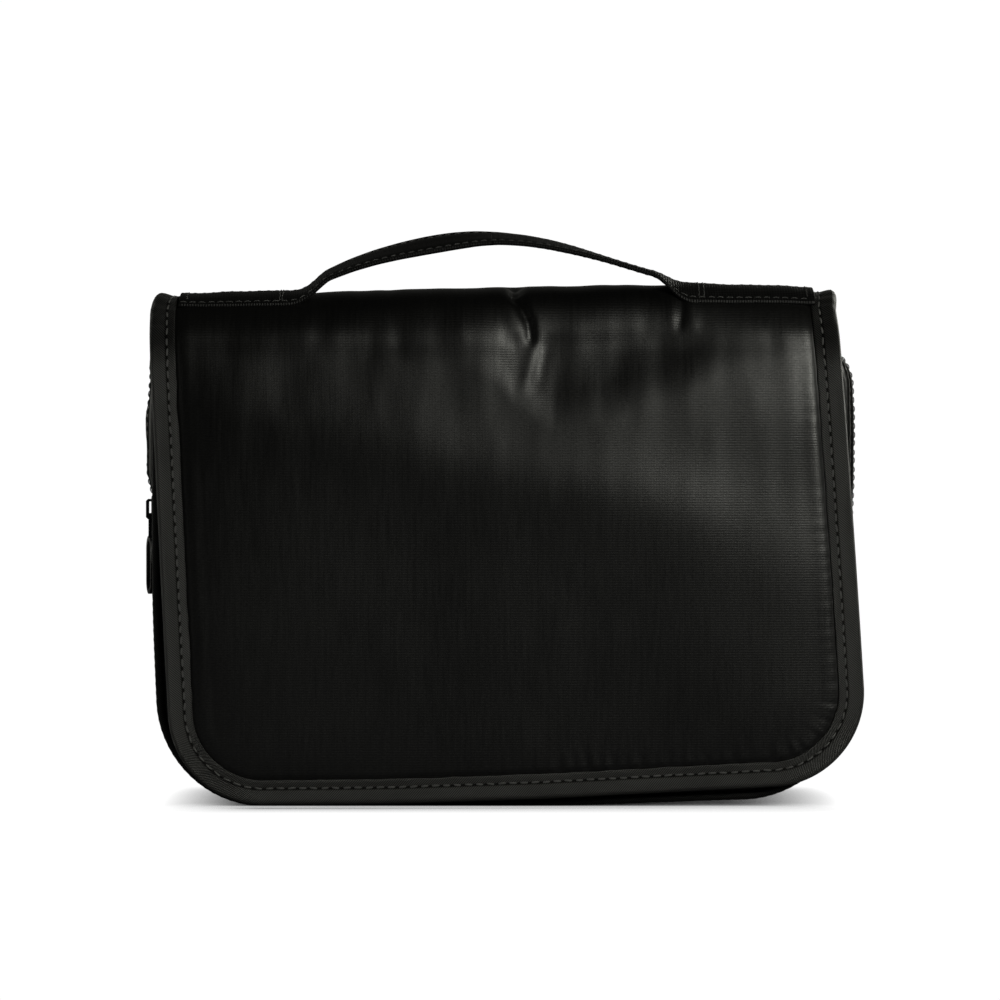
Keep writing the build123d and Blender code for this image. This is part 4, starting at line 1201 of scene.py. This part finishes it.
# fabric tabs over the zip's ends
TAB_Z, TAB_HALF_H, TAB_HALF_D, TAB_SEAM = 86.0, 5.2, 7.6, 1.4
for side, name in ((1, "right"), (-1, "left")):
    centre = rim_place(side, TAB_Z)
    run = np.linspace(centre - TAB_HALF_H, centre + TAB_HALF_H, 12)
    y = np.linspace(ZIP_Y - TAB_HALF_D, ZIP_Y + TAB_HALF_D, 16)
    edge = np.minimum(TAB_HALF_H - abs(run - centre)[:, None], TAB_HALF_D - abs(y - ZIP_Y))
    tab = slab("zip_end_tab_" + name, gusset_points(run, y, 0.35 + 0.75 * smooth(0, 1.5, edge))[0],
               gusset_points(run, y, -0.1)[0], columns(y, run[:, None]), [HEM],
               slot="twill_tape", body="pouch")
    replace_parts(tab, "main_zip_end_tabs")
    seam_h, seam_d = TAB_HALF_H - TAB_SEAM, TAB_HALF_D - TAB_SEAM
    y = np.linspace(ZIP_Y - seam_d, ZIP_Y + seam_d, 14)
    parts = []
    for place in (centre - seam_h, centre + seam_h):
        points, normals = gusset_points(np.array([place]), y, 1.0)
        parts += stitches(points[0], normals[0], pitch=2.4, dash=1.8, radius=0.2, seed=77)
    beads("zip_end_tab_stitching_" + name, parts, THREAD, slot="twill_tape", body="pouch")


# ------------------------------------------------------------------ pouch front wall and piping
def front_wall():
    """Lower and upper half of the wall in one cloth."""
    outline = pouch_outline(0.0)
    x, z = outline.T
    # the four sides run between the middles of the corners
    low_right, top_right, top_left, low_left = (
        int(np.argmax(score)) for score in (x - z, x + z, -x + z, -x - z))
    rows, cols = 110, 130
    right = resample(outline[low_right:top_right + 1], rows)
    top = resample(outline[top_right:top_left + 1][::-1], cols)
    left = resample(outline[top_left:low_left + 1][::-1], rows)
    bottom = resample(np.concatenate([outline[low_left:], outline[:low_right + 1]]), cols)
    grid = patch(bottom, top, left, right)
    x, z = grid[..., 0], grid[..., 1]
    edge = dist_to(grid, outline)[0]
    bump = (0.5 * fbm(x / 30, z / 30, 111, 3) - 0.5) * smooth(0, 12, edge) * 0.9
    bump = bump - 0.25 * bell(edge - 3.2, 1.2)
    return slab("pouch_front_wall", sagged(x, WALL_Y - bump, z),
                sagged(x, POUCH_FRONT - 0.05 - bump * 0.9, z), grid, [WALL, LINING], bottom_mat=1,
                slot="ribbed_nylon")


def pouch_piping():
    radius = (high("piping_lower", "y") - low("piping_lower", "y")) / 2 + 0.25
    line = pouch_outline(1.0, 1.0)[:-1]
    ahead = unit(np.roll(line, -1, 0) - np.roll(line, 1, 0))[:, None]
    turn = np.arange(10) / 10 * 2 * math.pi
    index = np.arange(len(line))
    centre = sagged(line[:, 0], middle("piping_lower", "y") + 0.35, line[:, 1])
    around = columns(ahead[..., 1] * np.cos(turn), np.sin(turn), -ahead[..., 0] * np.cos(turn))
    rings = centre[:, None] + (radius + 0.06 * np.sin(index * 2.1))[:, None, None] * around
    return tube("pouch_piping", rings, columns(index[:, None] * 1.0, turn * radius), [PIPING],
                closed=True, slot="twill_tape")


wall = front_wall()
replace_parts(wall, "front_panel_lower", "front_panel_upper")
piping = pouch_piping()
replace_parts(piping, "piping_lower", "piping_upper")
follow_mouth(wall, piping, gusset["pouch_gusset_front"], gusset["main_zip_tape_front_half"],
             teeth_front)

# ------------------------------------------------------------------ flat sewn-on pieces
# An upright face: its y, the way it looks along Y, and the body it belongs to.
Face = namedtuple("Face", "y out body")
FRONT_WALL = Face(WALL_Y, -1, "pouch")
FLAP_INSIDE = Face(LINING_Y, 1, "flap")
BACK_INSIDE = Face(POUCH_REAR, -1, "pouch")


def on_face(face, x, z, height):
    y = face.y + face.out * height
    if face.body == "flap":
        # the lining is pushed in near the top fold, and what is sewn to it follows
        y = y + np.clip(-flap_warp(x, z), 0, None)
    return columns(x, y, z)


def plate(name, face, x_span, z_span, mat, slot, rise, nx, nz, base=0.05, edge=1.2, shape=None):
    """A sheet sewn to a face; it rises by rise over the edge width and shape adds to that."""
    x, z = np.meshgrid(np.linspace(*x_span, nx), np.linspace(*z_span, nz), indexing="ij")
    inside = np.minimum(np.minimum(x - x_span[0], x_span[1] - x),
                        np.minimum(z - z_span[0], z_span[1] - z))
    height = base + rise * smooth(0, edge, inside)
    if shape is not None:
        height = height + shape(x, z, inside)
    return slab(name, on_face(face, x, z, height), on_face(face, x, z, 0.0), columns(x, z), [mat],
                slot=slot, body=face.body)


def row_stitch(name, face, lines, height, slot, pitch=3.0):
    """Thread along straight lines (x0, z0, x1, z1) on a face."""
    parts = []
    for k, (x0, z0, x1, z1) in enumerate(lines):
        count = max(4, int(math.hypot(x1 - x0, z1 - z0) / 1.5))
        line = on_face(face, np.linspace(x0, x1, count), np.linspace(z0, z1, count), height)
        parts += stitches(line, [0.0, float(face.out), 0.0], pitch=pitch, dash=pitch * 0.73,
                          radius=0.2, seed=90 + k)
    return beads(name, parts, THREAD, slot=slot, body=face.body)


def hem_tapes(name, node, face, x_span, z_span, open_x, open_z):
    """Tape round an opening; a side is left out where the opening reaches past the tape."""
    strips = []
    if open_z[0] > z_span[0]:
        strips.append((x_span, (z_span[0], open_z[0])))
    if open_z[1] < z_span[1]:
        strips.append((x_span, (open_z[1], z_span[1])))
    upright = (max(z_span[0], open_z[0]) - 0.4, min(z_span[1], open_z[1]) + 0.4)
    strips.append(((x_span[0], open_x[0]), upright))
    strips.append(((open_x[1], x_span[1]), upright))
    for k, spans in enumerate(strips):
        nx, nz = (max(4, int((end - start) / 2.5)) for start, end in spans)
        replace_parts(plate(f"{name}_{k + 1}", face, *spans, HEM, "twill_tape", rise=1.2,
                          nx=nx, nz=nz, edge=1.0), node)


def straight_zip(prefix, face, tape, coil):
    x0, x1, z0, z1 = low(tape, "x"), high(tape, "x"), low(tape, "z"), high(tape, "z")
    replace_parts(plate(prefix + "_tape", face, (x0, x1), (z0, z1), ZIP_TAPE, "zip_tape", rise=0.4,
                      base=0.08, nx=90, nz=12,
                      shape=lambda x, z, inside: 0.06 * np.sin(x / 3.3) * smooth(0, 2, inside)),
                tape)
    start = low(coil, "x")
    span = high(coil, "x") - start
    count = int(span / 1.25)
    parts = []
    for row, shift in ((1, 0.0), (-1, 0.5)):
        x = start + (np.arange(count - 1) + 0.5 + shift) * span / count
        centres = columns(x, face.y + face.out * 0.42, middle(coil, "z") + row * 0.85)
        parts += bars(centres, [0.0, 0.0, 1.0], [1.0, 0.0, 0.0], [0.0, float(face.out), 0.0],
                      length=2.5, width=0.8, height=1.05)
    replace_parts(beads(prefix + "_teeth", parts, COIL, slot="zip_coil", body=face.body), coil)
    row_stitch(prefix + "_stitching", face,
               [(x0 + 1, z, x1 - 1, z) for z in (z0 + 1.2, z1 - 1.2)], 0.5, "zip_tape")


def net_pocket(side, face, net_z, net_rows, sag, hem_z, open_z, seam_z, cross_z):
    """Net, hem tape, stitching and zip. sag is the net's centre x and z, half sizes and seed."""
    prefix = side + "_pocket"
    mesh, hem = prefix + "_mesh", prefix + "_hem"
    x0, x1 = low(mesh, "x"), high(mesh, "x")
    sag_x, sag_z, half_x, half_z, seed = sag

    def slack(x, z, inside):
        dome = (np.clip(1 - ((x - sag_x) / half_x) ** 2, 0, 1)
                * np.clip(1 - ((z - sag_z) / half_z) ** 2, 0, 1))
        return 0.9 * dome ** 0.7 + 0.18 * fbm(x / 22, z / 16, seed, 2) * smooth(0, 6, inside)

    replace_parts(plate(prefix + "_net", face, (x0 - 1.5, x1 + 1.5), net_z, NET, "mesh", rise=0.5,
                      base=0.35, nx=110, nz=net_rows, shape=slack), mesh)
    hem_tapes(hem + "_tape", hem, face, (low(hem, "x"), high(hem, "x")), hem_z, (x0, x1), open_z)
    row_stitch(prefix + "_stitching", face,
               [(x0 - 1.4, seam_z[0], x0 - 1.4, seam_z[1]),
                (x1 + 1.4, seam_z[0], x1 + 1.4, seam_z[1]), (x0, cross_z, x1, cross_z)],
               1.25, "twill_tape")
    straight_zip(prefix + "_zip", face, side + "_zip_tape", side + "_zip_coil")


# the front pocket is open at its top, the flap's at its bottom; the zips lie there
net_low, net_high = low("front_pocket_mesh", "z"), high("front_pocket_mesh", "z")
hem_low, hem_high = low("front_pocket_hem", "z"), high("front_pocket_hem", "z")
net_pocket("front", FRONT_WALL, net_z=(net_low - 2, net_high + 0.5), net_rows=40,
           sag=(0, 50, 100, 23, 121), hem_z=(hem_low + 3, hem_high),
           open_z=(net_low, hem_high + 5), seam_z=(net_low - 1.2, hem_high - 1),
           cross_z=net_low - 1.6)
net_low, net_high = low("flap_pocket_mesh", "z"), high("flap_pocket_mesh", "z")
hem_low, hem_high = low("flap_pocket_hem", "z"), high("flap_pocket_hem", "z")
net_pocket("flap", FLAP_INSIDE, net_z=(net_low - 0.5, net_high + 1.5), net_rows=44,
           sag=(middle("flap_pocket_mesh", "x"), 128, 96, 27, 131),
           hem_z=(hem_low, hem_high - 1.5), open_z=(hem_low - 5, net_high),
           seam_z=(hem_low + 1, net_high + 1.5), cross_z=net_high + 1.6)


# ------------------------------------------------------------------ elastic bands
def looped_band(name, stitching, node, face, x_span, loops, half, height, thick, seams, pitch):
    """A flat band sewn down at its seams, whose loops stand off the face, in one woven sheet."""
    z0, z1 = low(node, "z"), high(node, "z")
    x = np.linspace(*x_span, int((x_span[1] - x_span[0]) / 0.8))[:, None]
    z = np.linspace(z0, z1, 15)

    def humps(half_width):
        return np.max([(height - thick) * np.clip(1 - ((x - at) / half_width) ** 2, 0, 1) ** 0.62
                       for at in loops], axis=0)

    rolled = 0.25 * bell(np.minimum(z - z0, z1 - z), 0.8)
    outer = thick + humps(half) - rolled + 0.05 * np.sin(x * 3.1)
    inner = humps(half - thick) + rolled * 0.3
    band = slab(name, columns(x, face.y + face.out * outer, z),
                columns(x, face.y + face.out * inner, z), columns(x, z), [ELASTIC],
                slot="elastic", body=face.body)
    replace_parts(band, node)
    row_stitch(stitching, face, [(at, z0 + 1, at, z1 - 1) for at in seams], thick, "elastic", pitch)


for centre, name in ((-62.0, "left"), (62.0, "right")):
    looped_band("flap_elastic_" + name, "flap_elastic_stitching_" + name, "flap_elastic_bands",
                FLAP_INSIDE, (centre - 38, centre + 38), (centre - 25, centre, centre + 25),
                half=10.5, height=3.0, thick=0.9,
                seams=[centre + offset for offset in (-36.6, -12.5, 12.5, 36.6)], pitch=2.2)

LOOP_PITCH, LOOP_HALF = 46.0, 21.0
band_start, band_end = low("bottle_elastic", "x"), high("bottle_elastic", "x")
loops = [band_start + 4 + LOOP_HALF + k * LOOP_PITCH for k in range(4)]
looped_band("bottle_elastic_band", "bottle_elastic_stitching", "bottle_elastic", BACK_INSIDE,
            (band_start, band_end), loops, half=LOOP_HALF,
            height=high("bottle_elastic", "y") - low("bottle_elastic", "y"), thick=1.2,
            seams=[band_start + 2, *(at + LOOP_PITCH / 2 for at in loops[:3]), band_end - 2],
            pitch=2.4)

# ------------------------------------------------------------------ closure patches
PATCH_HALF_W, PATCH_HALF_H, PATCH_SEAM = 13, 7, 1.2
# CAD piece, name, face of the stitching, patch's face, its base height, pile, z of both patches
for node, prefix, seam_face, face, base, mat, heights in (
        ("closure_loop_patches", "closure_loop", FRONT_WALL._replace(y=WALL_Y - 2.2),
         FRONT_WALL._replace(y=WALL_Y - 1.2), 1.3, LOOP_PILE, (23.0, 23.0)),
        ("closure_hook_patches", "closure_hook", FLAP_INSIDE, FLAP_INSIDE, 0.4, HOOK_PILE,
         (23.0, 26.0))):
    centres = (low(node, "x") + PATCH_HALF_W, high(node, "x") - PATCH_HALF_W)
    for k, (x, z) in enumerate(zip(centres, heights), 1):
        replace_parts(plate(f"{prefix}_patch_{k}", face, (x - PATCH_HALF_W, x + PATCH_HALF_W),
                          (z - PATCH_HALF_H, z + PATCH_HALF_H), mat, "hook_and_loop", rise=1.3,
                          base=base, nx=66, nz=40, edge=0.9,
                          shape=lambda x, z, inside: (0.10 * fbm(x * 1.3, z * 1.3, 141, 2)
                                                      * smooth(1.4, 2.2, inside))), node)
        half_w, half_h = PATCH_HALF_W - PATCH_SEAM, PATCH_HALF_H - PATCH_SEAM
        x0, x1, z0, z1 = x - half_w, x + half_w, z - half_h, z + half_h
        row_stitch(f"{prefix}_stitching_{k}", seam_face,
                   [(x0, z0, x1, z0), (x0, z1, x1, z1), (x0, z0, x0, z1), (x1, z0, x1, z1)],
                   1.55, "hook_and_loop", 2.2)


# ------------------------------------------------------------------ webbing round the hook's bar
def hook_webbing():
    x0, x1 = low("hook_webbing", "x"), high("hook_webbing", "x")
    top = high("hook_webbing", "z")
    bar_y, bar_z = middle("hook_yoke", "y"), low("hook_yoke", "z") + 1.4
    web_y, wrap_radius = LINING_Y + 0.4, 1.78
    turn = np.linspace(math.radians(125), math.radians(-160), 26)
    # the path (y, z) runs down the lining, then round the bar
    path = resample(np.concatenate([
        [(web_y, top)], columns(web_y, np.linspace(top - 1, bar_z + 3.2, 12)),
        columns(bar_y + wrap_radius * np.cos(turn), bar_z + wrap_radius * np.sin(turn))]), 60)
    relax(path, 2)
    normals = left_normals(path)
    x = np.linspace(x0, x1, 20)[:, None]
    half = 0.32 - 0.12 * bell(np.minimum(x - x0, x1 - x), 0.6)
    faces = [columns(x, path[:, 0] + normals[:, 0] * thick, path[:, 1] + normals[:, 1] * thick)
             for thick in (half, -half)]
    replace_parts(slab("hook_webbing_loop", *faces, columns(lengths(path), x), [WEBBING],
                     slot="webbing", body="flap"), "hook_webbing")
    left, right = x0 + 1.2, x1 - 1.2
    row_stitch("hook_webbing_stitching", FLAP_INSIDE,
               [(left, bar_z + 5, left, top - 1), (right, bar_z + 5, right, top - 1),
                (left, top - 1.4, right, top - 1.4), (left, bar_z + 5.4, right, bar_z + 5.4)],
               0.72, "webbing", 2.0)


hook_webbing()

# ------------------------------------------------------------------ hard pieces: CAD shape, new finish
# bevel width in metres
for nodes, mat, width in (
        (("hook_yoke", "swivel_hook"), PLASTIC, 0.0004),
        (("main_slider", "main_pull", "front_slider", "front_pull", "flap_slider", "flap_pull",
          "front_zip_stops", "flap_zip_stops"), METAL, 0.00022)):
    for node in nodes:
        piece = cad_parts[node]
        for slot in piece.material_slots:
            slot.link = "OBJECT"
            slot.material = mat
        assign(piece.modifiers.new("edge", "BEVEL"), width=width, segments=3,
               limit_method="ANGLE", angle_limit=math.radians(40))

# ------------------------------------------------------------------ stage, in metres
SCENE = bpy.context.scene
WHITE = 1.02        # brightness of the floor and the world as the camera sees them
AIM = (0, 0, 0.09)  # where the lights point


def pale_floor():
    mat = bpy.data.materials.new("floor_white")
    nodes = Nodes(mat)
    # painted contact shadow: ambient occlusion darkens the floor's glow close to the bag
    painted_contact_shadow = nodes.add("AmbientOcclusion", {"Distance": 0.014}, "AO", samples=12)
    # what the bag sees of the floor: lit in front of it, shaded close to it
    y = nodes.split(nodes.add("NewGeometry", output="Position"))[1]
    lit = nodes.math("MINIMUM", nodes.remap(y, (-0.036, -0.06), (0.01, 0.08)),
                     nodes.remap(y, (-0.2, -0.6), (0.08, 0.04)))
    seen = nodes.add("LightPath", output="Is Camera Ray")
    nodes.end("OutputMaterial", nodes.add("Emission", {
        "Color": nodes.math("POWER", painted_contact_shadow, 0.75),
        "Strength": nodes.remap(seen, FULL, (lit, WHITE))}))
    bm = bmesh.new()
    bmesh.ops.create_grid(bm, x_segments=2, y_segments=2, size=3.0)
    mesh = bpy.data.meshes.new("floor")
    bm.to_mesh(mesh)
    bm.free()
    floor = bpy.data.objects.new("floor", mesh)
    floor.location = (0, 0, -0.0002)
    mesh.materials.append(mat)
    SCENE.collection.objects.link(floor)


def studio_world():
    """White to the camera; as light, dim and stronger from behind the bag."""
    world = bpy.data.worlds.new("studio")
    SCENE.world = world
    nodes = Nodes(world)
    y = nodes.split(nodes.add("TexCoord", output="Generated"))[1]
    light = nodes.add("Background", {"Color": (1.0, 1.0, 0.93), "Strength": nodes.remap(
        y, (0.25, 0.95), (0.006, 0.07))})
    backdrop = nodes.add("Background", {"Color": (1, 1, 1), "Strength": WHITE})
    seen = nodes.add("LightPath", output="Is Camera Ray")
    nodes.end("OutputWorld", nodes.add("MixShader", enumerate((seen, light, backdrop))))


def area_light(name, location, energy, size, size_y=None):
    data = bpy.data.lights.new(name, "AREA")
    assign(data, energy=energy, size=size, color=(1.0, 1.0, 0.91))
    if size_y:
        assign(data, shape="RECTANGLE", size_y=size_y)
    light = bpy.data.objects.new(name, data)
    light.location = location
    aim = Vector(np.array(AIM, float) - np.array(location, float))
    light.rotation_euler = aim.to_track_quat("-Z", "Y").to_euler()
    SCENE.collection.objects.link(light)


pale_floor()
studio_world()
area_light("softbox_right", (0.60, -1.10, 0.52), energy=6.8, size=0.40, size_y=0.42)
area_light("softbox_left", (-1.3, -0.5, 0.30), energy=0.6, size=0.4, size_y=0.6)
area_light("softbox_behind_right", (0.80, 1.15, 0.55), energy=3.6, size=0.6)
area_light("softbox_behind_left", (-1.1, 0.95, 0.40), energy=1.6, size=0.5)

camera_data = bpy.data.cameras.new("camera")
assign(camera_data, lens=100, sensor_width=36, clip_start=0.01)
camera = bpy.data.objects.new("camera", camera_data)
camera.location = (0.0011, FLAP_Y / 1000 - 0.0017 - 0.9278, 0.103)
camera.rotation_euler = (math.radians(90), 0, 0)
SCENE.collection.objects.link(camera)
SCENE.camera = camera
SCENE.view_settings.view_transform = "Standard"
